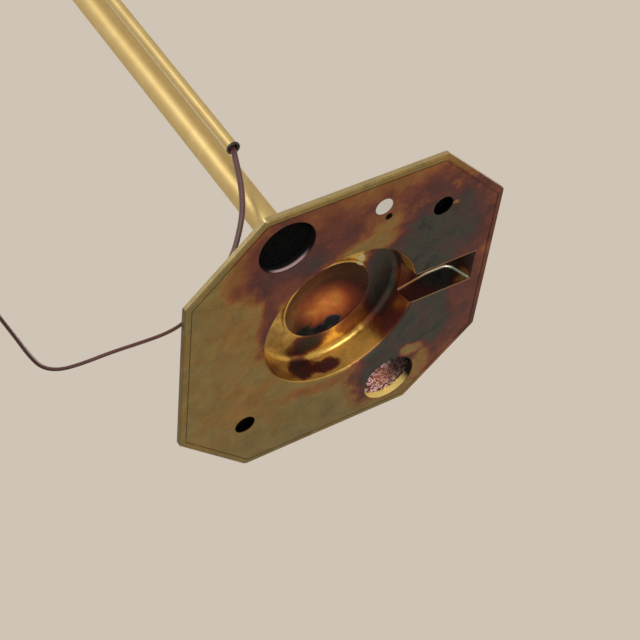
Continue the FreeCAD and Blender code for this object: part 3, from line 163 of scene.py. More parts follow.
def ramp(tree, value, stops):
    """A colour for each value; the stops are pairs of a value and its colour."""
    made = add(tree, "ShaderNodeValToRGB", {0: value})
    elements = made.color_ramp.elements
    elements[0].position, elements[0].color = stops[0]
    elements[1].position, elements[1].color = stops[-1]
    for position, colour in stops[1:-1]:
        elements.new(position).color = colour
    return made.outputs[0]


def srgb(red, green, blue):
    """A colour as a painter names it, 0 to 255, in the linear numbers that Blender counts in."""
    def linear(value):
        share = value / 255
        return share / 12.92 if share <= 0.04045 else ((share + 0.055) / 1.055) ** 2.4

    return (linear(red), linear(green), linear(blue), 1.0)


def new_group(name, inputs, outputs):
    """A shader node group; gives the group, its entry's outputs and its exit's inputs."""
    group = bpy.data.node_groups.new(name, "ShaderNodeTree")
    for label, kind, default in inputs:
        group.interface.new_socket(label, in_out="INPUT", socket_type=kind).default_value = default
    for label, kind in outputs:
        group.interface.new_socket(label, in_out="OUTPUT", socket_type=kind)
    entry = group.nodes.new("NodeGroupInput")
    leave = group.nodes.new("NodeGroupOutput")
    return group, entry.outputs, leave.inputs


def use(tree, group, **inputs):
    """Places a node group with its own values and gives its outputs."""
    return add(tree, "ShaderNodeGroup", inputs, node_tree=group).outputs


def new_material(name, **plain):
    """A material with its Principled shader, and the surface point in millimetres."""
    material = bpy.data.materials.new(name)
    material.use_nodes = True
    tree = material.node_tree
    shader = tree.nodes["Principled BSDF"]
    for label, value in plain.items():
        shader.inputs[label.replace("_", " ")].default_value = value
    coordinates = add(tree, "ShaderNodeTexCoord")
    point = vector_calc(tree, "MULTIPLY", coordinates.outputs["Object"], (1000, 1000, 1000))
    return material, tree, shader, point


def feed(tree, shader, **values):
    """Links values to a shader's inputs; an underscore stands for a space."""
    for label, value in values.items():
        tree.links.new(value, shader.inputs[label.replace("_", " ")])


def bump(tree, shader, height, strength, distance_mm):
    """Gives a material small relief."""
    inputs = {"Strength": strength, "Distance": distance_mm * 0.001, "Height": height}
    feed(tree, shader, Normal=add(tree, "ShaderNodeBump", inputs).outputs[0])


print("helpers ready")

# %% [markdown]
# ## Effects that several finishes share
# Real metal is never one colour. Five effects come back in many finishes here, so each is a node group: a
# ragged edge for stains, a soft blot with a place and a size, the fine rings that a lathe leaves, fine
# grain, and the dust that settles on what faces up.

# %% Ragged points and blots
VECTOR = "NodeSocketVector"
NUMBER = "NodeSocketFloat"
POINT = ("Point", VECTOR, (0, 0, 0))

RAGGED, inside, result = new_group(
    "ragged_point",
    [POINT, ("Scale", NUMBER, 0.05), ("Amount", NUMBER, 10.0)],
    [("Point", VECTOR)],
)
shift = add(RAGGED, "ShaderNodeTexNoise", {
    "Vector": inside["Point"], "Scale": inside["Scale"], "Detail": 6.0,
})
centred = vector_calc(RAGGED, "SUBTRACT", shift.outputs["Color"], (0.5, 0.5, 0.5))
moved = vector_calc(RAGGED, "ADD", inside["Point"], dim(RAGGED, centred, inside["Amount"]))
RAGGED.links.new(moved, result["Point"])

BLOT, inside, result = new_group(
    "blot",
    [POINT, ("Centre", VECTOR, (0, 0, 0)), ("Size", VECTOR, (10, 10, 10)),
     ("Softness", NUMBER, 0.3), ("Strength", NUMBER, 1.0), ("Fray", NUMBER, 0.0)],
    [("Mask", NUMBER)],
)
away = vector_calc(BLOT, "SUBTRACT", inside["Point"], inside["Centre"])
shares = vector_calc(BLOT, "DIVIDE", away, inside["Size"])
distance = calc(BLOT, "ADD", vector_calc(BLOT, "LENGTH", shares), inside["Fray"])
outer = calc(BLOT, "ADD", 1.0, inside["Softness"])
inner = calc(BLOT, "SUBTRACT", 1.0, inside["Softness"])
mask = times(BLOT, fade(BLOT, distance, outer, inner), inside["Strength"])
BLOT.links.new(mask, result["Mask"])


def spot(tree, point, centre, size, softness, strength=1.0, fray=0.0):
    """The mask of one blot."""
    return use(
        tree, BLOT, Point=point, Centre=centre, Size=size, Softness=softness, Strength=strength, Fray=fray,
    )["Mask"]


print("groups:", RAGGED.name, BLOT.name)

# %% Lathe rings, grain and dust
LATHE, inside, result = new_group(
    "lathe_rings",
    [POINT, ("Centre", VECTOR, (0, 0, 0)), ("Scale", NUMBER, 2.0)],
    [("Height", NUMBER)],
)
away = vector_calc(LATHE, "SUBTRACT", inside["Point"], inside["Centre"])
parts = split(LATHE, away)
flat = add(LATHE, "ShaderNodeCombineXYZ", {0: parts[0], 1: parts[1]})
radius = vector_calc(LATHE, "LENGTH", flat.outputs[0])
section = add(LATHE, "ShaderNodeCombineXYZ", {0: radius, 2: parts[2]})
LATHE.links.new(noise(LATHE, section.outputs[0], inside["Scale"], 2.0), result["Height"])

GRAIN, inside, result = new_group(
    "fine_grain",
    [POINT, ("Stretch", VECTOR, (1, 1, 1)), ("Scale", NUMBER, 1.0)],
    [("Fine", NUMBER), ("Broad", NUMBER)],
)
stretched = vector_calc(GRAIN, "MULTIPLY", inside["Point"], inside["Stretch"])
GRAIN.links.new(noise(GRAIN, stretched, inside["Scale"], 4.0), result["Fine"])
broad_scale = times(GRAIN, inside["Scale"], 0.06)
GRAIN.links.new(noise(GRAIN, inside["Point"], broad_scale, 3.0, 0.6), result["Broad"])

DUST, inside, result = new_group(
    "settled_dust",
    [POINT, ("Normal", VECTOR, (0, 0, 1)), ("Amount", NUMBER, 0.3)],
    [("Mask", NUMBER)],
)
upward = fade(DUST, split(DUST, inside["Normal"])[2], 0.55, 1.0)
patchy = fade(DUST, noise(DUST, inside["Point"], 0.12, 6.0), 0.35, 0.75)
settled = times(DUST, upward, patchy)
DUST.links.new(times(DUST, settled, inside["Amount"]), result["Mask"])
print("groups:", LATHE.name, GRAIN.name, DUST.name)

# %% [markdown]
# ## The cord
# A flat twin flex leaves the black bush at the riser's lower end, drops over the slope of the base and
# runs along the floor out of the picture. What the photograph doesn't show is put away in a neat coil
# just outside it, with a two-pin plug. The cord is one smooth NURBS line, and the flex is a mesh swept
# along that line. Its points are the CAD route's own points.

# %% Cord route
CORD_R = 0.0026
ROUTE_MM = [
    (5.6, -24.8, 194.0),
    (5.6, -24.8, 181.6),
    (-0.6, -25.0, 166.0),
    (-7.4, -25.2, 148.0),
    (-15.8, -25.4, 129.5),
    (-26.0, -25.6, 111.5),
    (-39.5, -25.8, 93.5),
    (-55.5, -26.0, 75.0),
    (-79.5, -27.2, 56.5),
    (-104.5, -31.0, 38.5),
    (-126.5, -38.0, 22.5),
    (-147.0, -48.5, 11.2),
    (-170.5, -57.5, 5.0),
    (-196.5, -62.5, 3.0),
    (-219.0, -63.0, 2.6),
    (-236.5, -65.5, 2.6),
    (-249.5, -75.5, 2.6),
    (-258.0, -93.0, 2.6),
    (-266.0, -114.0, 2.7),
    (-275.0, -137.0, 2.9),
    (-284.5, -161.0, 3.3),
]

COIL_CENTRE = Vector((-0.327, -0.184, 0.00365))
COIL_OUTER_R = 0.036
COIL_PITCH = 0.0057
COIL_LAYERS = 4
COIL_LAYER_TURNS = 2.75
COIL_CLIMB_TURNS = 0.5
COIL_START_DEG = -20.0
POINTS_PER_TURN = 16


def coil_point(turns):
    """A point of the coil: it winds in and out layer by layer, and climbs about each reversal."""
    layer = min(int(turns / COIL_LAYER_TURNS), COIL_LAYERS - 1)
    wound = turns - layer * COIL_LAYER_TURNS
    inward = wound if layer % 2 == 0 else COIL_LAYER_TURNS - wound
    height = 0.0
    for i in range(1, COIL_LAYERS):
        share = min(max((turns - i * COIL_LAYER_TURNS) / COIL_CLIMB_TURNS + 0.5, 0.0), 1.0)
        height += COIL_PITCH * share**2 * (3 - 2 * share)
    radius = (COIL_OUTER_R - COIL_PITCH * inward) / math.cos(math.pi / POINTS_PER_TURN) ** 0.5
    angle = math.radians(COIL_START_DEG) - 2 * math.pi * turns
    return COIL_CENTRE + Vector((radius * math.cos(angle), radius * math.sin(angle), height))


COIL_TURNS = COIL_LAYERS * COIL_LAYER_TURNS
turn_steps = round(COIL_TURNS * POINTS_PER_TURN)
coil = [coil_point(COIL_TURNS * i / turn_steps) for i in range(turn_steps + 1)]
arriving = (coil[1] - coil[0]).normalized()
leaving = (coil[-1] - coil[-2]).normalized()
print("coil points:", len(coil))

# %% Cord line
PLUG_HALF_HEIGHT = 0.007
TAIL_REACH = 0.062
TAIL_SHIFT = 0.006
TAIL_TURN = 0.12
APPROACH = 0.016
TAIL_LEAD = 0.012
TAIL_LIFT = 0.0016
PLUG_LEAD = 0.014

coil_end = coil[-1] + leaving * 2 * CORD_R
aside = Vector((leaving.y, -leaving.x, 0))
plug_entry = coil_end + leaving * TAIL_REACH - aside * TAIL_SHIFT
plug_entry.z = PLUG_HALF_HEIGHT
plug_ahead = (leaving - aside * TAIL_TURN).normalized()
plug_ahead.z = 0
plug_ahead.normalize()
control = [Vector(p) * 0.001 for p in ROUTE_MM]
control += [coil[0] - arriving * (2 * CORD_R + APPROACH), coil[0] - arriving * 2 * CORD_R]
control += coil
control += [
    coil_end,
    coil_end + leaving * TAIL_LEAD,
    (coil_end + plug_entry) / 2 + Vector((0, 0, TAIL_LIFT)),
    plug_entry - plug_ahead * PLUG_LEAD,
    plug_entry,
]

cord_curve = bpy.data.curves.new("cord_line", "CURVE")
cord_curve.dimensions = "3D"
spline = cord_curve.splines.new("NURBS")
spline.points.add(len(control) - 1)
for spline_point, place in zip(spline.points, control):
    spline_point.co = (*place, 1.0)
spline.order_u = 3
spline.use_endpoint_u = True
spline.resolution_u = 6
cord_line = bpy.data.objects.new("cord_line", cord_curve)
scene.collection.objects.link(cord_line)
bpy.context.view_layer.update()
line_mesh = bpy.data.meshes.new_from_object(cord_line)
cord_path = [v.co.copy() for v in line_mesh.vertices]
bpy.data.objects.remove(cord_line)
cord_length = sum((b - a).length for a, b in zip(cord_path, cord_path[1:]))
print("cord path:", len(cord_path), "points,", round(cord_length, 3), "m")

# %% [markdown]
# The flex is two round cores side by side with a groove between them. A ring of points with that outline
# is carried along the line. Where its flat side faces is chosen at a few places, as the flex lies in the
# photograph: flat towards us at the bush, nearly on edge on the floor, upright in the coil and flat into
# the plug.

# %% Flex mesh
LOBE_R = 0.0013
LOBE_STEPS = 12
LOBE_SMOOTH_DEG = 60.0
LOBE_HALF_ARC_DEG = 128.0
FLAT_UNTIL = 0.12
ON_EDGE_FROM = 0.215
ON_EDGE_UNTIL = 0.37
UPRIGHT_FROM = 0.43
UPRIGHT_BEFORE_PLUG = 0.07
FLAT_BEFORE_PLUG = 0.02


def twin_outline():
    """Points round the flex's two lobes: (across the width, through the thickness)."""
    points = []
    for side in (1, -1):
        for i in range(LOBE_STEPS):
            angle = math.radians(-LOBE_HALF_ARC_DEG + 2 * LOBE_HALF_ARC_DEG * i / (LOBE_STEPS - 1))
            points.append((side * LOBE_R * (1 + math.cos(angle)), side * LOBE_R * math.sin(angle)))
    return points


def tangents(path):
    """The direction of a path at each of its points."""
    last = len(path) - 1
    return [(path[min(i + 1, last)] - path[max(i - 1, 0)]).normalized() for i in range(last + 1)]


def width_directions(path):
    """The direction of a path and of the flex's width at each path point."""
    run = [0.0]
    for a, b in zip(path, path[1:]):
        run.append(run[-1] + (b - a).length)
    length = run[-1]
    up = Vector((0, 0, 1))
    facing_us = VIEW_DIRECTION.cross(up).normalized()
    stations = [
        (0.0, facing_us),
        (FLAT_UNTIL, facing_us),
        (ON_EDGE_FROM, VIEW_DIRECTION),
        (ON_EDGE_UNTIL, VIEW_DIRECTION),
        (UPRIGHT_FROM, up),
        (length - UPRIGHT_BEFORE_PLUG, up),
        (length - FLAT_BEFORE_PLUG, aside.normalized()),
        (length, aside.normalized()),
    ]
    found = []
    for distance, tangent in zip(run, tangents(path)):
        for (start, first), (end, second) in zip(stations, stations[1:]):
            if distance <= end:
                share = min(max((distance - start) / (end - start), 0.0), 1.0)
                share = share * share * (3 - 2 * share)
                break
        wish = first.lerp(second, share)
        across = (wish - tangent * wish.dot(tangent)).normalized()
        if found and across.dot(found[-1][1]) < 0:
            across.negate()
        found.append((tangent, across))
    return found


def swept_mesh(name, path, frames, outline, smooth_deg=35.0):
    """A closed mesh of an outline carried along a path."""
    bm = bmesh.new()
    rings = []
    for place, (tangent, across) in zip(path, frames):
        through = tangent.cross(across)
        rings.append([bm.verts.new(place + across * u + through * v) for u, v in outline])
    count = len(outline)
    for low, high in zip(rings, rings[1:]):
        for i in range(count):
            bm.faces.new((low[i], low[(i + 1) % count], high[(i + 1) % count], high[i]))
    bm.faces.new(list(reversed(rings[0])))
    bm.faces.new(rings[-1])
    bmesh.ops.recalc_face_normals(bm, faces=bm.faces)
    return show(name, new_mesh(name, bm), smooth_deg)


def new_mesh(name, bm):
    """Turns a bmesh into a mesh."""
    mesh = bpy.data.meshes.new(name)
    bm.to_mesh(mesh)
    bm.free()
    return mesh


def show(name, mesh, smooth_deg=35.0):
    """Gives a mesh smooth faces and sharp edges, and links it as an object."""
    mesh.shade_smooth()
    mesh.set_sharp_from_angle(angle=math.radians(smooth_deg))
    made = bpy.data.objects.new(name, mesh)
    scene.collection.objects.link(made)
    return made


flex = swept_mesh("flex", cord_path, width_directions(cord_path), twin_outline(), LOBE_SMOOTH_DEG)
print("flex faces:", len(flex.data.polygons))

# %% Flex finish
flex_finish, tree, shader, point = new_material("brown_flex", Roughness=0.42, Specular_IOR_Level=0.45)
grain = use(tree, GRAIN, Point=point, Scale=0.9)
flex_colour = mix(tree, grain["Broad"], srgb(66, 38, 36), srgb(92, 56, 52))
feed(tree, shader, Base_Color=flex_colour)
bump(tree, shader, grain["Fine"], 0.25, 0.08)
flex.data.materials.append(flex_finish)
print("finish:", flex_finish.name)

# %% [markdown]
# ## The base's underside
# The casting was left rough inside and got hot when it was cast and filled. Hot brass grows an oxide film
# whose colour depends on its thickness: first olive gold, then orange, rust, plum and slate, and nearly
# black where it was hottest. So the finish is one number, the heat, laid down in stains, and one colour
# ramp that reads it. Each stain has a centre, half sizes in millimetres, a heat and a softness, and one
# frayed noise breaks all their edges.

# %% Oxide colours
OXIDE, inside, result = new_group("oxide_film", [("Heat", NUMBER, 0.0)], [("Color", "NodeSocketColor")])
film = ramp(OXIDE, inside["Heat"], [
    (0.00, srgb(140, 125, 80)),
    (0.14, srgb(148, 126, 72)),
    (0.28, srgb(156, 118, 60)),
    (0.40, srgb(150, 94, 50)),
    (0.52, srgb(126, 68, 48)),
    (0.64, srgb(102, 54, 50)),
    (0.76, srgb(82, 58, 56)),
    (0.88, srgb(66, 69, 61)),
    (1.00, srgb(32, 28, 34)),
])
OXIDE.links.new(film, result["Color"])
print("group:", OXIDE.name)

# %% Stains
FLAT_STAIN_HALF_Z = 60
UNDERSIDE_STAINS = [
    ((-84, 66), (32, 34), 0.27, 0.9),
    ((-84, -26), (30, 44), 0.26, 0.9),
    ((6, -128), (112, 44), 0.46, 0.5),
    ((112, 4), (74, 124), 0.58, 0.3),
    ((-2, -100), (70, 30), 0.50, 0.6),
    ((-60, -98), (40, 38), 0.56, 0.6),
    ((-44, -78), (34, 16), 0.72, 0.6),
    ((-8, -98), (12, 22), 0.60, 0.6),
    ((62, -118), (26, 12), 0.60, 0.7),
    ((24, -128), (34, 9), 0.36, 0.8),
    ((-96, -92), (10, 22), 0.42, 0.7),
    ((128, -30), (14, 60), 0.50, 0.6),
    ((108, 92), (20, 26), 0.50, 0.7),
    ((44, 88), (26, 38), 0.74, 0.5),
    ((78, -46), (48, 50), 0.85, 0.5),
    ((80, 44), (46, 42), 0.85, 0.5),
    ((50, 76), (28, 24), 0.84, 0.5),
    ((118, 14), (14, 40), 0.62, 0.6),
    ((-66, -30), (9, 34), 0.62, 0.6),
    ((-52, -58), (18, 12), 0.56, 0.6),
    ((-14, 75), (38, 7), 0.36, 0.7),
]
UNDERSIDE_SPOTS = [
    ((20, -73), (24, 8), 0.18, 0.6),
    ((34, -89), (12, 8), 0.28, 0.6),
    ((76, 77), (12, 7), 0.16, 0.5),
    ((88, 97), (8, 15), 0.30, 0.6),
    ((60, 133), (30, 8), 0.18, 0.7),
    ((94, -84), (3, 2), 0.14, 0.6),
]
RECESS_STAINS = [
    ((-56, 34, 8), (12, 30, 12), 0.44, 0.6),
    ((-36, 52, 6), (30, 12, 5), 0.30, 0.6),
    ((-46, 10, 23), (16, 34, 9), 0.26, 0.7),
    ((-12, 46, 23), (17, 12, 8), 0.74, 0.5),
    ((56, 30, 10), (18, 26, 14), 0.62, 0.6),
    ((62, 24, 13), (8, 6, 8), 0.34, 0.8),
    ((50, 0, 21), (20, 48, 9), 0.84, 0.4),
    ((28, 40, 23), (14, 14, 7), 0.46, 0.5),
    ((24, -58, 15), (32, 14, 12), 0.80, 0.3),
    ((-23, 62, 13), (13, 9, 9), 0.73, 0.3),
    ((-2, 66, 10), (13, 8, 6), 0.71, 0.3),
]
BOWL_STAINS = [
    ((6, 20, 30), (26, 20, 10), 0.36, 0.7),
    ((36, 0, 26), (14, 34, 14), 0.72, 0.6),
    ((14, -28, 28), (40, 18, 14), 0.68, 0.6),
    ((-29, -16, 28), (14, 28, 12), 0.56, 0.6),
    ((-21, 31, 24), (12, 5, 6), 1.0, 0.35),
    ((-4, 36, 24), (11, 4, 5), 0.95, 0.4),
    ((11, 33, 25), (8, 4, 4), 1.0, 0.35),
]
CHANNEL_STAINS = [
    ((68, 0, 17), (14, 22, 6), 0.42, 0.5),
    # This light olive stain at the channel's closed end is a painted reflection.
    ((118, 14, 5), (9, 6, 6), 0.12, 0.6),
    ((84, 16, 8), (18, 6, 8), 0.64, 0.6),
    ((106, 16, 12), (14, 6, 8), 0.90, 0.6),
]


def heated(tree, heat, point, fray, stains):
    """Lays stains over a heat, one after the other; a stain without heights is on the flat underside."""
    for centre, size, value, softness in stains:
        centre = (*centre, 0)[:3]
        size = (*size, FLAT_STAIN_HALF_Z)[:3]
        heat = mix_value(tree, spot(tree, point, centre, size, softness, fray=fray), heat, value)
    return heat


print("stains:", len(UNDERSIDE_STAINS + UNDERSIDE_SPOTS + RECESS_STAINS + BOWL_STAINS + CHANNEL_STAINS))

# %% [markdown]
# One material covers the whole casting, so it first has to know where a point is: in the round recess, in
# the bowl, in the channel or on the rim. Each place has its own list of stains, and masks choose between
# them. Bare gold, fine speckles and light scratches are laid over the film's colour, painted shade darkens it
# towards the +y edge, and the bowl has a painted highlight in its middle with painted shade round it.

# %% Where each part of the casting is
RECESS_R_MM = 70.0
BOWL_R_MM = 38.0
CHANNEL_HALF_MM = 16.0
BASE_HALF_MM = 140.0
SLANT_REACH_MM = 217.7
RIM_REACH_MM = (134.2, 134.8)

casting_finish, tree, shader, point = new_material("patinated_casting")
axes = split(tree, point)
normal = add(tree, "ShaderNodeNewGeometry").outputs["Normal"]
normal_z = split(tree, normal)[2]
flat_point = add(tree, "ShaderNodeCombineXYZ", {0: axes[0], 1: axes[1]}).outputs[0]
radius = vector_calc(tree, "LENGTH", flat_point)
across = calc(tree, "ABSOLUTE", axes[1])
along = calc(tree, "ABSOLUTE", axes[0])
slant = calc(tree, "SUBTRACT", calc(tree, "ADD", along, across), SLANT_REACH_MM - BASE_HALF_MM)
reach = calc(tree, "MAXIMUM", calc(tree, "MAXIMUM", along, across), slant)
deep = fade(tree, axes[2], 0.5, 1.6)
in_recess = times(tree, fade(tree, radius, RECESS_R_MM, RECESS_R_MM - 0.8), deep)
in_bowl = times(tree, fade(tree, radius, BOWL_R_MM + 0.6, BOWL_R_MM - 0.3), in_recess)
beside = fade(tree, across, CHANNEL_HALF_MM + 1.0, CHANNEL_HALF_MM + 0.4)
in_channel = times(tree, times(tree, fade(tree, axes[0], 63.5, 65.0), deep), beside)

# %% Heat and its colour
grain = use(tree, GRAIN, Point=point, Scale=1.1)
cloud = noise(tree, point, 0.035, 9.0, 0.4, 0.62)
fray = times(tree, calc(tree, "SUBTRACT", noise(tree, point, 0.09, 9.0, 0.0, 0.66), 0.5), 1.2)
little_fray = times(tree, fray, 0.8)
ragged = use(tree, RAGGED, Point=point, Scale=0.03, Amount=26.0)["Point"]
little_ragged = use(tree, RAGGED, Point=point, Scale=0.08, Amount=9.0)["Point"]
heat_under = heated(tree, 0.11, ragged, fray, UNDERSIDE_STAINS)
heat_under = heated(tree, heat_under, little_ragged, fray, UNDERSIDE_SPOTS)
heat_recess = heated(tree, 0.14, little_ragged, little_fray, RECESS_STAINS)
heat_bowl = heated(tree, 0.62, little_ragged, little_fray, BOWL_STAINS)
heat_channel = heated(tree, 0.80, point, little_fray, CHANNEL_STAINS)
heat = mix_value(tree, in_recess, heat_under, heat_recess)
heat = mix_value(tree, in_bowl, heat, heat_bowl)
heat = mix_value(tree, in_channel, heat, heat_channel)
rim = fade(tree, reach, *RIM_REACH_MM)
heat = mix_value(tree, times(tree, rim, fade(tree, axes[0], 140.0, 20.0)), heat, 0.13)
uneven = times(tree, calc(tree, "SUBTRACT", cloud, 0.5), 0.62)
heat = calc(tree, "ADD", heat, uneven, clamp=True)
colour = use(tree, OXIDE, Heat=heat)["Color"]
bare = times(tree, fade(tree, heat, 0.36, 0.12), in_recess)
colour = mix(tree, times(tree, bare, 0.85), colour, srgb(244, 196, 98))
speckle = fade(tree, grain["Fine"], 0.66, 0.36)
colour = mix(tree, times(tree, speckle, 0.22), colour, srgb(40, 30, 22))
mottle = noise(tree, point, 0.05, 8.0, 0.8, 0.7)
# glow marks the middle of the bowl, where the colour gets a painted highlight; round it the bowl is painted
# darker as painted shade.
glow = spot(tree, point, (7, 17, 29), (19, 13, 10), 0.9)
# shade is a random mottle of brightness, less a painted shade towards the base's +y edge.
shade = calc(tree, "ADD", times(tree, mottle, 1.1), 0.41)
painted_edge_shade = spot(tree, point, (-10, 118, 0), (80, 34, 9), 0.8, strength=0.14)
shade = calc(tree, "SUBTRACT", shade, painted_edge_shade)
reddened = times(tree, in_bowl, fade(tree, heat, 0.86, 0.72))
colour = mix(tree, times(tree, reddened, 0.45), colour, srgb(146, 60, 18))
painted_bowl_light_and_shade = mix_value(tree, in_bowl, 1.0, mix_value(tree, glow, 0.25, 2.3))
colour = dim(tree, colour, times(tree, shade, painted_bowl_light_and_shade))
streaks = use(tree, GRAIN, Point=ragged, Stretch=(0.05, 1.3, 1.0), Scale=0.9)
scratched = fade(tree, streaks["Fine"], 0.62, 0.74)
colour = mix(tree, times(tree, scratched, 0.16), colour, srgb(196, 172, 116))
print("heat laid")

# %% [markdown]
# The holes are painted nearly black inside as painted shade, with a painted gleam where light falls on their
# walls: a pale gleam in the first large hole and a bright band of brass in the second. The edges of the
# channel have a warm, lighter line, partly wear and partly a painted highlight of their rounded mouth.

# %% Holes and the channel's edges
PAINTED_HOLE_SHADE = srgb(5, 5, 5)
POCKETS_MM = {(-58, -105.1, 0): srgb(216, 178, 174), (58, 105.1, 0): srgb(255, 228, 132)}
VENTS_MM = [(-81, 85.5, 0), (81, -85.5, 0)]
PIT_MM = (30, -97.3, 0)
PALE_SPOT_MM = (28, -31, 21)
GLEAM_X_MM = -54.0

inner_hole = fade(tree, axes[2], 2.0, 4.0)
hole_shade = None
# Each large hole's wall is painted shade, with a painted gleam on its upper side; POCKETS_MM holds each
# gleam's colour.
for centre, painted_gleam_colour in POCKETS_MM.items():
    mask = spot(tree, flat_point, centre, (24.6, 24.6, 9), 0.015)
    near = times(tree, mask, fade(tree, axes[2], 0.3, 0.8))
    upper_side = fade(tree, calc(tree, "SUBTRACT", axes[1], centre[1]), 8.0, 18.0)
    wall = mix(tree, upper_side, PAINTED_HOLE_SHADE, painted_gleam_colour)
    if centre[0] < 0:
        off_gleam = calc(tree, "ABSOLUTE", calc(tree, "SUBTRACT", axes[0], GLEAM_X_MM))
        wall = mix(tree, fade(tree, off_gleam, 9.0, 19.0), wall, PAINTED_HOLE_SHADE)
        wall = mix(tree, inner_hole, wall, PAINTED_HOLE_SHADE)
    colour = mix(tree, near, colour, wall)
    hole_shade = near if hole_shade is None else calc(tree, "MAXIMUM", hole_shade, near)
# The vents are painted near black inside, as painted shade.
for centre in VENTS_MM:
    mask = spot(tree, flat_point, centre, (9.4, 9.4, 9), 0.03)
    colour = mix(tree, times(tree, mask, fade(tree, axes[2], 0.3, 1.0)), colour, PAINTED_HOLE_SHADE)
colour = mix(tree, spot(tree, flat_point, PIT_MM, (3.4, 3.4, 9), 0.3), colour, srgb(48, 26, 24))
# A small pale spot on the recess.
pale_spot = spot(tree, point, PALE_SPOT_MM, (4.5, 6, 4), 0.1)
colour = mix(tree, times(tree, pale_spot, 0.85), colour, srgb(206, 196, 146))
# A warm, lighter line along the channel's mouth edges: partly wear, partly a painted highlight.
channel_edge = calc(tree, "ABSOLUTE", calc(tree, "SUBTRACT", across, CHANNEL_HALF_MM))
edge_wear_and_highlight = times(tree, fade(tree, channel_edge, 0.9, 0.3), fade(tree, axes[2], 0.9, 0.3))
edge_wear_and_highlight = times(tree, edge_wear_and_highlight, fade(tree, axes[0], 66.0, 68.0))
edge_wear_and_highlight = times(tree, edge_wear_and_highlight, fade(tree, axes[0], 125.5, 124.5))
colour = mix(tree, times(tree, edge_wear_and_highlight, 0.7), colour, srgb(206, 158, 104))
print("holes laid")

# %% [markdown]
# The upright sides are paler and duller than the underside, and those facing -x are painted darker as painted
# shade. The sloping top, which one sees in a room, is clean brass with a little dust. Roughness follows the
# same clouds as the stains, since thick film is duller.

# %% Sides and upper side
normal_x = split(tree, normal)[0]
side = times(tree, fade(tree, reach, 138.8, 139.6), fade(tree, normal_z, -0.75, -0.3))
side_colour = mix(tree, cloud, srgb(150, 134, 92), srgb(206, 190, 146))
# Sides facing -x: painted shade.
side_colour = mix(tree, fade(tree, normal_x, -0.75, -0.95), side_colour, srgb(104, 88, 56))
colour = mix(tree, times(tree, side, 0.85), colour, side_colour)
top_colour = mix(tree, grain["Broad"], srgb(186, 162, 98), srgb(212, 188, 122))
top_colour = mix(tree, fade(tree, cloud, 0.62, 0.8), top_colour, srgb(138, 112, 66))
outside = calc(tree, "MAXIMUM", fade(tree, normal_z, 0.15, 0.5), fade(tree, axes[2], 37.0, 42.0))
colour = mix(tree, outside, colour, top_colour)
dust = use(tree, DUST, Point=point, Normal=normal, Amount=0.25)
colour = mix(tree, dust["Mask"], colour, srgb(190, 184, 170))
dull = calc(tree, "ADD", times(tree, cloud, 0.35), 0.26)
dull = calc(tree, "SUBTRACT", dull, times(tree, in_recess, 0.10))
dull = mix_value(tree, hole_shade, dull, 0.6)
feed(tree, shader, Base_Color=colour, Roughness=dull, Metallic=mix_value(tree, hole_shade, 0.85, 0.25))
bump(tree, shader, calc(tree, "ADD", grain["Fine"], times(tree, cloud, 2.0)), 0.35, 0.3)
nodes["base_casting"].data.materials[0] = casting_finish
print("finish:", casting_finish.name)

# %% [markdown]
# ## The bright line in the channel
# Where a wall of the cast channel meets its floor, the casting is rounded inwards and that round catches
# the light, so it shows as one bright line that bends at the channel's closed end. A strip with a hollow
# face is carried along that corner, which gives a real round, and its colour is also painted pale along
# the line as a painted highlight.

# %% Channel fillet
CHANNEL_WALL_Y = 0.016
FILLET_LEG = 0.0015
FILLET_ROOT = 0.0002
FILLET_STEPS = 6
FLOOR_END = (110.56, 21.0)
END_ROUND = 9.0
END_TURN_DEG = 70.0
END_STEPS = 14

corner = [(64.6, 16.5), (72.0, 17.65), (80.0, 18.85), (88.0, 20.0), (95.0, 20.95), (103.0, 21.0)]
for i in range(END_STEPS + 1):
    turn = math.radians(END_TURN_DEG * i / END_STEPS)
    fall = END_ROUND * (1 - math.cos(turn))
    corner.append((FLOOR_END[0] + END_ROUND * math.sin(turn), FLOOR_END[1] - fall))
corner += [(120.8, 10.2), (122.6, 5.2), (124.1, 1.1)]
corner_path = [Vector((x * 0.001, CHANNEL_WALL_Y, z * 0.001)) for x, z in corner]
corner_frames = [(ahead, Vector((ahead.z, 0, -ahead.x))) for ahead in tangents(corner_path)]
hollow = [(-FILLET_ROOT, FILLET_ROOT), (FILLET_LEG, FILLET_ROOT)]
for i in range(FILLET_STEPS + 1):
    turn = math.pi / 2 * (1 + i / FILLET_STEPS)
    hollow.append((FILLET_LEG * (1 + math.cos(turn)), FILLET_LEG * (math.sin(turn) - 1)))
hollow.append((-FILLET_ROOT, -FILLET_LEG))
channel_fillet = swept_mesh("channel_fillet", corner_path, corner_frames, hollow)
print("fillet faces:", len(channel_fillet.data.polygons))

# %% Fillet finish
fillet_finish, tree, shader, point = new_material("fillet_painted_highlight", Metallic=0.9)
ragged = use(tree, RAGGED, Point=point, Scale=0.1, Amount=8.0)["Point"]
along = split(tree, ragged)[0]
mouth = use(tree, OXIDE, Heat=times(tree, noise(tree, ragged, 0.15, 4.0), 0.9))["Color"]
# The mouth end: oxide lightened half-way to pale gold, a painted highlight.
mouth = mix(tree, 0.5, mouth, srgb(226, 180, 130))
# The near-white colour towards the closed end: painted highlight.
painted_highlight = mix(tree, fade(tree, along, 112.0, 120.0), srgb(236, 222, 196), srgb(206, 224, 196))
line_colour = mix(tree, fade(tree, along, 82.0, 98.0), mouth, painted_highlight)
dull = calc(tree, "ADD", times(tree, noise(tree, point, 0.6), 0.3), 0.22)
feed(tree, shader, Base_Color=line_colour, Roughness=dull)
channel_fillet.data.materials.append(fillet_finish)
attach(channel_fillet, "stand")
print("finish:", fillet_finish.name)

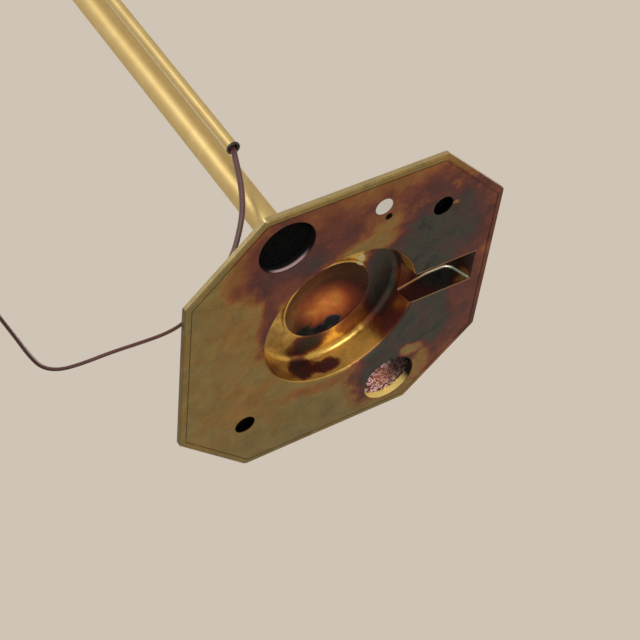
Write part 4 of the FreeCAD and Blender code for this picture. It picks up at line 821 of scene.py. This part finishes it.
# %% [markdown]
# ## Brass, steel and plastic
# The tubes are satin lacquered brass, drawn lengthwise, so their grain is stretched along the tube.
# Collars, caps and knuckles are turned, so fine rings go round them.

# %% Tubes and turned brass
BRASS_LIGHT = srgb(216, 196, 142)
BRASS_DEEP = srgb(198, 172, 110)


def brass(name, roughness, stretch, ring_height):
    """Lacquered brass with its own grain; ring_height is how deep the lathe marks are, in millimetres."""
    material, tree, shader, point = new_material(name, Metallic=0.85)
    grain = use(tree, GRAIN, Point=point, Stretch=stretch, Scale=1.2)
    normal = add(tree, "ShaderNodeNewGeometry").outputs["Normal"]
    dust = use(tree, DUST, Point=point, Normal=normal, Amount=0.18)
    colour = mix(tree, grain["Broad"], BRASS_DEEP, BRASS_LIGHT)
    colour = mix(tree, dust["Mask"], colour, srgb(196, 190, 176))
    spread = calc(tree, "ADD", times(tree, grain["Fine"], 0.14), roughness - 0.07)
    feed(tree, shader, Base_Color=colour, Roughness=spread)
    height = grain["Fine"]
    if ring_height:
        height = use(tree, LATHE, Point=point, Scale=2.5)["Height"]
    bump(tree, shader, height, 0.3, ring_height or 0.04)
    return material


satin_brass = brass("satin_brass", 0.52, (1.0, 1.0, 0.03), 0.0)
arm_brass = brass("arm_brass", 0.48, (0.1, 0.03, 1.0), 0.0)
turned_brass = brass("turned_brass", 0.28, (1.0, 1.0, 1.0), 0.06)
print("finishes:", satin_brass.name, arm_brass.name, turned_brass.name)


# %% Steel, plastic, label and ballast
def plain_finish(name, first, second, roughness, scale, depth_mm, metallic=0.0):
    """A finish of two near colours with grain of one size."""
    material, tree, shader, point = new_material(name, Metallic=metallic)
    grain = use(tree, GRAIN, Point=point, Scale=scale)
    spread = calc(tree, "ADD", times(tree, grain["Fine"], 0.12), roughness - 0.06)
    colour = mix(tree, grain["Broad"], srgb(*first), srgb(*second))
    feed(tree, shader, Base_Color=colour, Roughness=spread)
    bump(tree, shader, grain["Fine"], 0.3, depth_mm)
    return material


PLAIN_FINISHES = {
    "steel": ("screw_steel", (150, 150, 152), (186, 186, 188), 0.35, 2.0, 0.03, 1.0),
    "bulb_metal": ("bulb_cap_metal", (196, 196, 198), (218, 218, 220), 0.3, 2.0, 0.03, 1.0),
    "black_plastic": ("black_plastic", (26, 25, 25), (40, 39, 38), 0.42, 1.5, 0.05),
    "nylon": ("nylon", (206, 200, 186), (222, 218, 206), 0.5, 1.5, 0.04),
    "plug_plastic": ("plug_plastic", (78, 50, 42), (98, 66, 56), 0.38, 1.2, 0.05),
    "tie_plastic": ("tie_strap", (34, 33, 34), (52, 50, 50), 0.75, 3.0, 0.25),
    "blank_label": ("blank_label", (188, 180, 162), (210, 203, 186), 0.6, 1.4, 0.03),
    "bulb_glass": ("opal_glass", (238, 234, 224), (246, 243, 234), 0.22, 0.8, 0.01),
}
finish_of_slot = {slot: plain_finish(*looks) for slot, looks in PLAIN_FINISHES.items()}

ballast_finish, tree, shader, point = new_material("ballast_grains", Specular_IOR_Level=0.08)
cells = add(tree, "ShaderNodeTexVoronoi", {"Vector": point, "Scale": 0.5})
tint = add(tree, "ShaderNodeSeparateColor", {0: cells.outputs["Color"]}).outputs[0]
silver = mix(tree, fade(tree, tint, 0.25, 0.85), srgb(96, 58, 52), srgb(234, 202, 200))
warm = spot(tree, point, (60, 108, 7), (14, 12, 30), 0.8)
silver = mix(tree, times(tree, warm, 0.55), silver, srgb(206, 124, 88))
# shadow lays a painted shadow over part of the second hole's grains.
shadow = spot(tree, point, (76, 94, 7), (18, 26, 30), 0.5)
silver = mix(tree, times(tree, shadow, 0.9), silver, srgb(26, 20, 18))
# Outside the second large hole the grains are painted near black as painted shade; lit marks where they keep
# their colour.
lit = spot(tree, point, (58, 105.1, 7), (26, 26, 30), 0.03)
grain_colour = mix(tree, lit, srgb(4, 4, 4), silver)
dull = mix_value(tree, lit, 0.85, 0.45)
feed(tree, shader, Base_Color=grain_colour, Metallic=times(tree, lit, 0.6), Roughness=dull)
bump(tree, shader, noise(tree, point, 0.9, 5.0), 0.6, 0.8)
print("plain finishes:", len(finish_of_slot))

# %% [markdown]
# The shade is spun from sheet brass on a lathe, so fine rings run round it outside, and inside it is
# sprayed with white enamel that throws the light down. One finish does both: which side a point is on
# comes from whether the surface there faces the shade's axis.

# %% Shade finish
shade_low, shade_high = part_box("shade")
shade_centre = (shade_low + shade_high) / 2
MOUTH_MM = shade_low.z * 1000
BEAD_MM = 3.4

shade_finish, tree, shader, point = new_material("spun_shade", Roughness=0.3)
heart = (shade_centre.x * 1000, shade_centre.y * 1000, MOUTH_MM)
own_normal = add(tree, "ShaderNodeTexCoord").outputs["Normal"]
outwards = vector_calc(tree, "DOT_PRODUCT", own_normal, vector_calc(tree, "SUBTRACT", point, heart))
height = split(tree, point)[2]
bead = fade(tree, height, MOUTH_MM + BEAD_MM, MOUTH_MM + BEAD_MM - 0.3)
brass_side = calc(tree, "MAXIMUM", fade(tree, outwards, -0.2, 0.2), bead)
rings = use(tree, LATHE, Point=point, Centre=(heart[0], heart[1], 0), Scale=1.6)["Height"]
grain = use(tree, GRAIN, Point=point, Scale=0.7)
ragged = use(tree, RAGGED, Point=point, Scale=0.02, Amount=40.0)["Point"]
tarnish = fade(tree, noise(tree, ragged, 0.012, 5.0), 0.42, 0.72)
spun = mix(tree, grain["Broad"], srgb(214, 190, 122), srgb(232, 212, 148))
spun = mix(tree, times(tree, tarnish, 0.3), spun, use(tree, OXIDE, Heat=tarnish)["Color"])
enamel = mix(tree, grain["Broad"], srgb(232, 228, 216), srgb(240, 237, 228))
feed(tree, shader, Base_Color=mix(tree, brass_side, enamel, spun), Metallic=times(tree, brass_side, 0.9))
bump(tree, shader, mix_value(tree, brass_side, grain["Fine"], rings), 0.25, 0.06)
print("finish:", shade_finish.name)

# %% Finishes on the CAD's own pieces
finish_of_slot |= {
    "patinated_brass": casting_finish,
    "iron_ballast": ballast_finish,
    "satin_brass": satin_brass,
    "turned_brass": turned_brass,
    "shade_brass": shade_finish,
    "brown_flex": flex_finish,
}
slot_of_node = {part["node"]: part["material_slot"] for part in frame["record"]["subparts"]}
for name, cad_object in nodes.items():
    cad_object.data.materials[0] = finish_of_slot[slot_of_node[name]]
nodes["arm_tube"].data.materials[0] = arm_brass
print("finished CAD pieces:", len(nodes))

# %% [markdown]
# ## What repeats: grains, screws and ribs
# The two large holes are closed by loose iron grains in resin. The brackets, the stop collar and the
# arm's end are held by grub screws with a six-sided key hole, and the plug has ribs to grip. Each of
# these is one small shape that comes again and again, so Geometry Nodes place it: a tree takes a few
# points or a face, puts a copy on each, and makes it real. The result is kept as a plain mesh.


# %% Geometry Nodes helpers
def new_tree(name, inputs):
    """A Geometry Nodes tree with named inputs; gives the tree, its entry's outputs and its exit's input."""
    tree = bpy.data.node_groups.new(name, "GeometryNodeTree")
    tree.interface.new_socket("Geometry", in_out="INPUT", socket_type="NodeSocketGeometry")
    for label, kind in inputs:
        tree.interface.new_socket(label, in_out="INPUT", socket_type=kind)
    tree.interface.new_socket("Geometry", in_out="OUTPUT", socket_type="NodeSocketGeometry")
    entry = tree.nodes.new("NodeGroupInput")
    leave = tree.nodes.new("NodeGroupOutput")
    return tree, entry.outputs, leave.inputs[0]


def make_real(tree, instances, material, target):
    """Ends a tree: the copies become one mesh with one material."""
    real = add(tree, "GeometryNodeRealizeInstances", {0: instances})
    dressed = add(tree, "GeometryNodeSetMaterial", {"Geometry": real.outputs[0], "Material": material})
    tree.links.new(dressed.outputs[0], target)


def grow(name, mesh, tree, values, body, smooth_deg=35.0):
    """Runs a tree on a mesh, keeps the result as a plain mesh and fixes it to its body."""
    carrier = bpy.data.objects.new(name + "_base", mesh)
    scene.collection.objects.link(carrier)
    modifier = carrier.modifiers.new("growth", "NODES")
    modifier.node_group = tree
    entries = [i for i in tree.interface.items_tree if i.item_type == "SOCKET" and i.in_out == "INPUT"]
    identifiers = {item.name: item.identifier for item in entries}
    for label, value in values.items():
        modifier[identifiers[label]] = value
    bpy.context.view_layer.update()
    evaluated = carrier.evaluated_get(bpy.context.evaluated_depsgraph_get())
    grown = bpy.data.meshes.new_from_object(evaluated)
    grown.name = name
    bpy.data.objects.remove(carrier)
    made = show(name, grown, smooth_deg)
    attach(made, body)
    print(name, "faces:", len(grown.polygons))
    return made


print("geometry helpers ready")

# %% Tree of loose grains
GRAINS, entry, leave = new_tree(
    "loose_grains",
    [("Grain radius", NUMBER), ("Density", NUMBER), ("Seed", "NodeSocketInt"),
     ("Material", "NodeSocketMaterial")],
)
scattered = add(GRAINS, "GeometryNodeDistributePointsOnFaces", {
    "Mesh": entry["Geometry"], "Density": entry["Density"], "Seed": entry["Seed"],
})
pebble = add(GRAINS, "GeometryNodeMeshIcoSphere", {"Radius": entry["Grain radius"], "Subdivisions": 1})
turn = add(GRAINS, "FunctionNodeRandomValue", {
    "Max": (6.28, 6.28, 6.28), "Seed": entry["Seed"],
}, data_type="FLOAT_VECTOR")
turned = add(GRAINS, "FunctionNodeEulerToRotation", {0: turn.outputs[0]})
girth = add(GRAINS, "FunctionNodeRandomValue", {
    "Min": (0.55, 0.55, 0.5), "Max": (1.35, 1.2, 1.0), "Seed": entry["Seed"],
}, data_type="FLOAT_VECTOR")
placed = add(GRAINS, "GeometryNodeInstanceOnPoints", {
    "Points": scattered.outputs["Points"], "Instance": pebble.outputs["Mesh"],
    "Rotation": turned.outputs[0], "Scale": girth.outputs[0],
})
make_real(GRAINS, placed.outputs[0], entry["Material"], leave)
print("tree:", GRAINS.name)

# %% Ballast grains
POCKET_CENTRES = [(-0.0578, -0.1051), (0.0578, 0.1051)]
GRAIN_BED_R = 0.0226
BALLAST_FACE_Z = 0.0068
GRAIN_R = 0.0013
GRAIN_DENSITY = 420000.0
GRAIN_SEED = 7

bm = bmesh.new()
for x, y in POCKET_CENTRES:
    middle = Matrix.Translation((x, y, BALLAST_FACE_Z))
    bmesh.ops.create_circle(bm, cap_ends=True, segments=32, radius=GRAIN_BED_R, matrix=middle)
bed = new_mesh("grain_bed", bm)
grain_values = {
    "Grain radius": GRAIN_R, "Density": GRAIN_DENSITY, "Seed": GRAIN_SEED, "Material": ballast_finish,
}
grow("ballast_grains", bed, GRAINS, grain_values, "stand", 180.0)

# %% Tree of grub screws
SCREWS, entry, leave = new_tree(
    "grub_screws",
    [("Radius", NUMBER), ("Length", NUMBER), ("Key radius", NUMBER), ("Key depth", NUMBER),
     ("Material", "NodeSocketMaterial")],
)
rod = add(SCREWS, "GeometryNodeMeshCylinder", {
    "Vertices": 32, "Radius": entry["Radius"], "Depth": entry["Length"],
})
half_length = times(SCREWS, entry["Length"], -0.5)
sunk = add(SCREWS, "ShaderNodeCombineXYZ", {2: half_length})
rod_below = add(SCREWS, "GeometryNodeTransform", {
    "Geometry": rod.outputs["Mesh"], "Translation": sunk.outputs[0],
})
key_reach = times(SCREWS, entry["Key depth"], 2.0)
key = add(SCREWS, "GeometryNodeMeshCylinder", {
    "Vertices": 6, "Radius": entry["Key radius"], "Depth": key_reach,
})
drilled = add(SCREWS, "GeometryNodeMeshBoolean", operation="DIFFERENCE")
SCREWS.links.new(rod_below.outputs[0], drilled.inputs["Mesh 1"])
SCREWS.links.new(key.outputs["Mesh"], drilled.inputs["Mesh 2"])
facing = add(SCREWS, "GeometryNodeInputNamedAttribute", {"Name": "facing"}, data_type="FLOAT_VECTOR")
aimed = add(SCREWS, "FunctionNodeAlignRotationToVector", {"Vector": facing.outputs[0]}, axis="Z")
placed = add(SCREWS, "GeometryNodeInstanceOnPoints", {
    "Points": entry["Geometry"], "Instance": drilled.outputs["Mesh"], "Rotation": aimed.outputs[0],
})
make_real(SCREWS, placed.outputs[0], entry["Material"], leave)
print("tree:", SCREWS.name)


# %% Grub screws
def screw_points(name, places):
    """A mesh of bare points, each with the direction that its screw faces."""
    mesh = bpy.data.meshes.new(name)
    mesh.from_pydata([place for place, direction in places], [], [])
    facing = mesh.attributes.new("facing", "FLOAT_VECTOR", "POINT")
    for item, (place, direction) in zip(facing.data, places):
        item.vector = direction
    return mesh


def grub_screw(name, node, body, place, direction, length, size):
    """A grub screw with its outer end at a place, instead of the plain one of the CAD model."""
    values = {**size, "Length": length, "Material": finish_of_slot["steel"]}
    points = screw_points(name + "_places", [(place, direction)])
    screw = grow(name, points, SCREWS, values, body, SCREW_SMOOTH_DEG)
    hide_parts(node)


def at_height_of(node, place):
    """A place moved to the middle height of a CAD node."""
    low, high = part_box(node)
    return (place.x, place.y, (low.z + high.z) / 2)


TOWARDS_RISER = Vector((0.21985, -0.97553, 0.0))
GUIDE_REACH = 0.0165
CLAMP_REACH = 0.0185
COLLAR_REACH = 0.0339
GUIDE_LENGTH = 0.0044
CLAMP_LENGTH = 0.0064
SMALL_LENGTH = 0.0033
SCREW_SMOOTH_DEG = 30.0
FIXING = {"Radius": 0.002, "Key radius": 0.00115, "Key depth": 0.0016}
SMALL = {"Radius": 0.0015, "Key radius": 0.00087, "Key depth": 0.0012}

for name, node, reach, length in [
    ("guide_grub_screw", "guide_screw", GUIDE_REACH, GUIDE_LENGTH),
    ("clamp_grub_screw", "clamp_screw", CLAMP_REACH, CLAMP_LENGTH),
]:
    place = at_height_of(node, -TOWARDS_RISER * reach)
    grub_screw(name, node, "stand", place, -TOWARDS_RISER, length, FIXING)
place = at_height_of("stop_collar_screw", TOWARDS_RISER * COLLAR_REACH)
grub_screw("collar_grub_screw", "stop_collar_screw", "riser", place, TOWARDS_RISER, SMALL_LENGTH, SMALL)
roll_low, roll_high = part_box("roll_screw")
place = ((roll_low.x + roll_high.x) / 2, (roll_low.y + roll_high.y) / 2, roll_low.z)
grub_screw("roll_grub_screw", "roll_screw", "arm", place, (0, 0, -1), SMALL_LENGTH, SMALL)

# %% Tree of grip ribs
RIB_CORNER_R = 0.0036

RIBS, entry, leave = new_tree(
    "grip_ribs",
    [("Width", NUMBER), ("Height", NUMBER), ("Rib radius", NUMBER), ("Step", "NodeSocketVector"),
     ("Count", "NodeSocketInt"), ("Turn", "NodeSocketVector"), ("Material", "NodeSocketMaterial")],
)
outline = add(RIBS, "GeometryNodeCurvePrimitiveQuadrilateral", {
    "Width": entry["Width"], "Height": entry["Height"],
})
rounded = add(RIBS, "GeometryNodeFilletCurve", {
    "Curve": outline.outputs[0], "Count": 6, "Radius": RIB_CORNER_R,
}, mode="POLY")
bead = add(RIBS, "GeometryNodeCurvePrimitiveCircle", {"Resolution": 10, "Radius": entry["Rib radius"]})
hoop = add(RIBS, "GeometryNodeCurveToMesh", {"Curve": rounded.outputs[0], "Profile Curve": bead.outputs[0]})
row = add(RIBS, "GeometryNodeMeshLine", {"Count": entry["Count"], "Offset": entry["Step"]})
spread_out = add(RIBS, "GeometryNodeInstanceOnPoints", {
    "Points": entry["Geometry"], "Instance": row.outputs[0],
})
stations = add(RIBS, "GeometryNodeRealizeInstances", {0: spread_out.outputs[0]})
angle = add(RIBS, "FunctionNodeEulerToRotation", {0: entry["Turn"]})
placed = add(RIBS, "GeometryNodeInstanceOnPoints", {
    "Points": stations.outputs[0], "Instance": hoop.outputs[0], "Rotation": angle.outputs[0],
})
make_real(RIBS, placed.outputs[0], entry["Material"], leave)
print("tree:", RIBS.name)

# %% Plug ribs
RIB_COUNT = 5
RIB_R = 0.00055
RIB_WIDTH = 0.0237
RIB_HEIGHT = 0.0134
RIB_START = 0.0196
RIB_STEP = 0.0026
RIB_LIFT = 0.00025
first_rib = bpy.data.meshes.new("first_rib")
first_rib.from_pydata([plug_entry + plug_ahead * RIB_START + Vector((0, 0, RIB_LIFT))], [], [])
heading = math.atan2(plug_ahead.y, plug_ahead.x)
rib_values = {
    "Width": RIB_WIDTH, "Height": RIB_HEIGHT, "Rib radius": RIB_R, "Step": tuple(plug_ahead * RIB_STEP),
    "Count": RIB_COUNT, "Turn": (math.pi / 2, 0.0, heading + math.pi / 2),
    "Material": finish_of_slot["plug_plastic"],
}
plug_ribs = grow("plug_ribs", first_rib, RIBS, rib_values, "stand")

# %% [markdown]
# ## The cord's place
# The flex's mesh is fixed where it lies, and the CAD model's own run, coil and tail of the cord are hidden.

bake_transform(flex)
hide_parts("cord_run", "cord_coil", "cord_tail")

# %% [markdown]
# ## Floor, background and light
# The camera looks up through the floor, so the floor shows only its upper side and lets light from below
# through, and the base's outline is cut out of it. Far off it turns into the plain pale colour of the
# background, so that no horizon shows. Four soft lamps light the lamp: a key on the camera's side, a fill
# below for the underside, one behind and one overhead.

# %% Floor
FLOOR_Z = -0.0006
FLOOR_HALF = 4.0
FLOOR_COLOUR = srgb(207, 196, 181)
FAR_MM = (380.0, 1300.0)
HOLE_HALF = 0.1404
HOLE_NEAR = 0.0781
QUARTERS = ((1, 1), (-1, 1), (-1, -1), (1, -1))

floor_material, tree, shader, point = new_material("floor", Roughness=0.85, Base_Color=FLOOR_COLOUR)
clear = add(tree, "ShaderNodeBsdfTransparent")
glow = add(tree, "ShaderNodeEmission", {"Color": FLOOR_COLOUR})
facing = add(tree, "ShaderNodeNewGeometry").outputs["Backfacing"]
light_path = add(tree, "ShaderNodeLightPath").outputs
see_through = calc(tree, "MAXIMUM", facing, light_path["Is Shadow Ray"])
far = fade(tree, vector_calc(tree, "LENGTH", point), *FAR_MM)
far = times(tree, far, light_path["Is Camera Ray"])
paler = add(tree, "ShaderNodeMixShader", {0: far, 1: shader.outputs[0], 2: glow.outputs[0]})
one_sided = add(tree, "ShaderNodeMixShader", {0: see_through, 1: paler.outputs[0], 2: clear.outputs[0]})
tree.links.new(one_sided.outputs[0], tree.nodes["Material Output"].inputs["Surface"])

bm = bmesh.new()
outer = [bm.verts.new((x * FLOOR_HALF, y * FLOOR_HALF, FLOOR_Z)) for x, y in QUARTERS]
hole = []
for x, y in QUARTERS:
    pair = [(x * HOLE_HALF, y * HOLE_NEAR), (x * HOLE_NEAR, y * HOLE_HALF)]
    hole.append([bm.verts.new((*p, FLOOR_Z)) for p in (pair if x * y > 0 else reversed(pair))])
for i in range(4):
    after = (i + 1) % 4
    bm.faces.new((outer[i], outer[after], hole[after][0], hole[i][1]))
    bm.faces.new((outer[i], hole[i][1], hole[i][0]))
floor = show("floor", new_mesh("floor", bm))
floor.data.materials.append(floor_material)
print("floor faces up:", floor.data.polygons[0].normal.z > 0)


# %% World and lamps
def area_lamp(name, place, aim, size, power, colour=(1, 1, 1)):
    """A soft lamp that shines at a point."""
    light = bpy.data.lights.new(name, "AREA")
    light.shape = "SQUARE"
    light.size = size
    light.energy = power
    light.color = colour
    lamp = bpy.data.objects.new(name, light)
    lamp.location = place
    lamp.rotation_euler = (Vector(aim) - Vector(place)).to_track_quat("-Z", "Y").to_euler()
    scene.collection.objects.link(lamp)
    return lamp


SKY_COLOUR = (0.92, 0.94, 1.0, 1.0)
SKY_STRENGTH = 0.55

world = bpy.data.worlds.new("studio")
scene.world = world
world.use_nodes = True
tree = world.node_tree
background = tree.nodes["Background"]
background.inputs["Color"].default_value = SKY_COLOUR
background.inputs["Strength"].default_value = SKY_STRENGTH
pale = add(tree, "ShaderNodeBackground", {"Color": FLOOR_COLOUR, "Strength": 1.0})
light_path = add(tree, "ShaderNodeLightPath").outputs
seen = calc(tree, "MAXIMUM", light_path["Is Camera Ray"], light_path["Is Transmission Ray"])
seen = calc(tree, "MAXIMUM", seen, light_path["Is Glossy Ray"])
choice = add(tree, "ShaderNodeMixShader", {0: seen, 1: background.outputs[0], 2: pale.outputs[0]})
tree.links.new(choice.outputs[0], tree.nodes["World Output"].inputs["Surface"])

area_lamp("key", (-1.1, -1.7, 1.1), (0, 0, 0.2), 0.6, 16.0, (1.0, 0.98, 0.95))
area_lamp("under_fill", (-0.2, -1.5, -1.2), (0, 0, 0), 0.9, 20.0)
area_lamp("back_fill", (1.2, 1.6, 1.4), (0, 0, 0.4), 1.5, 12.0)
area_lamp("overhead", (0, 0, 3.2), (0, 0, 0), 3.0, 26.0)
print("lamps ready")

# %% [markdown]
# ## The end
# The scene is brought up to date.

# %% Finish
bpy.context.view_layer.update()
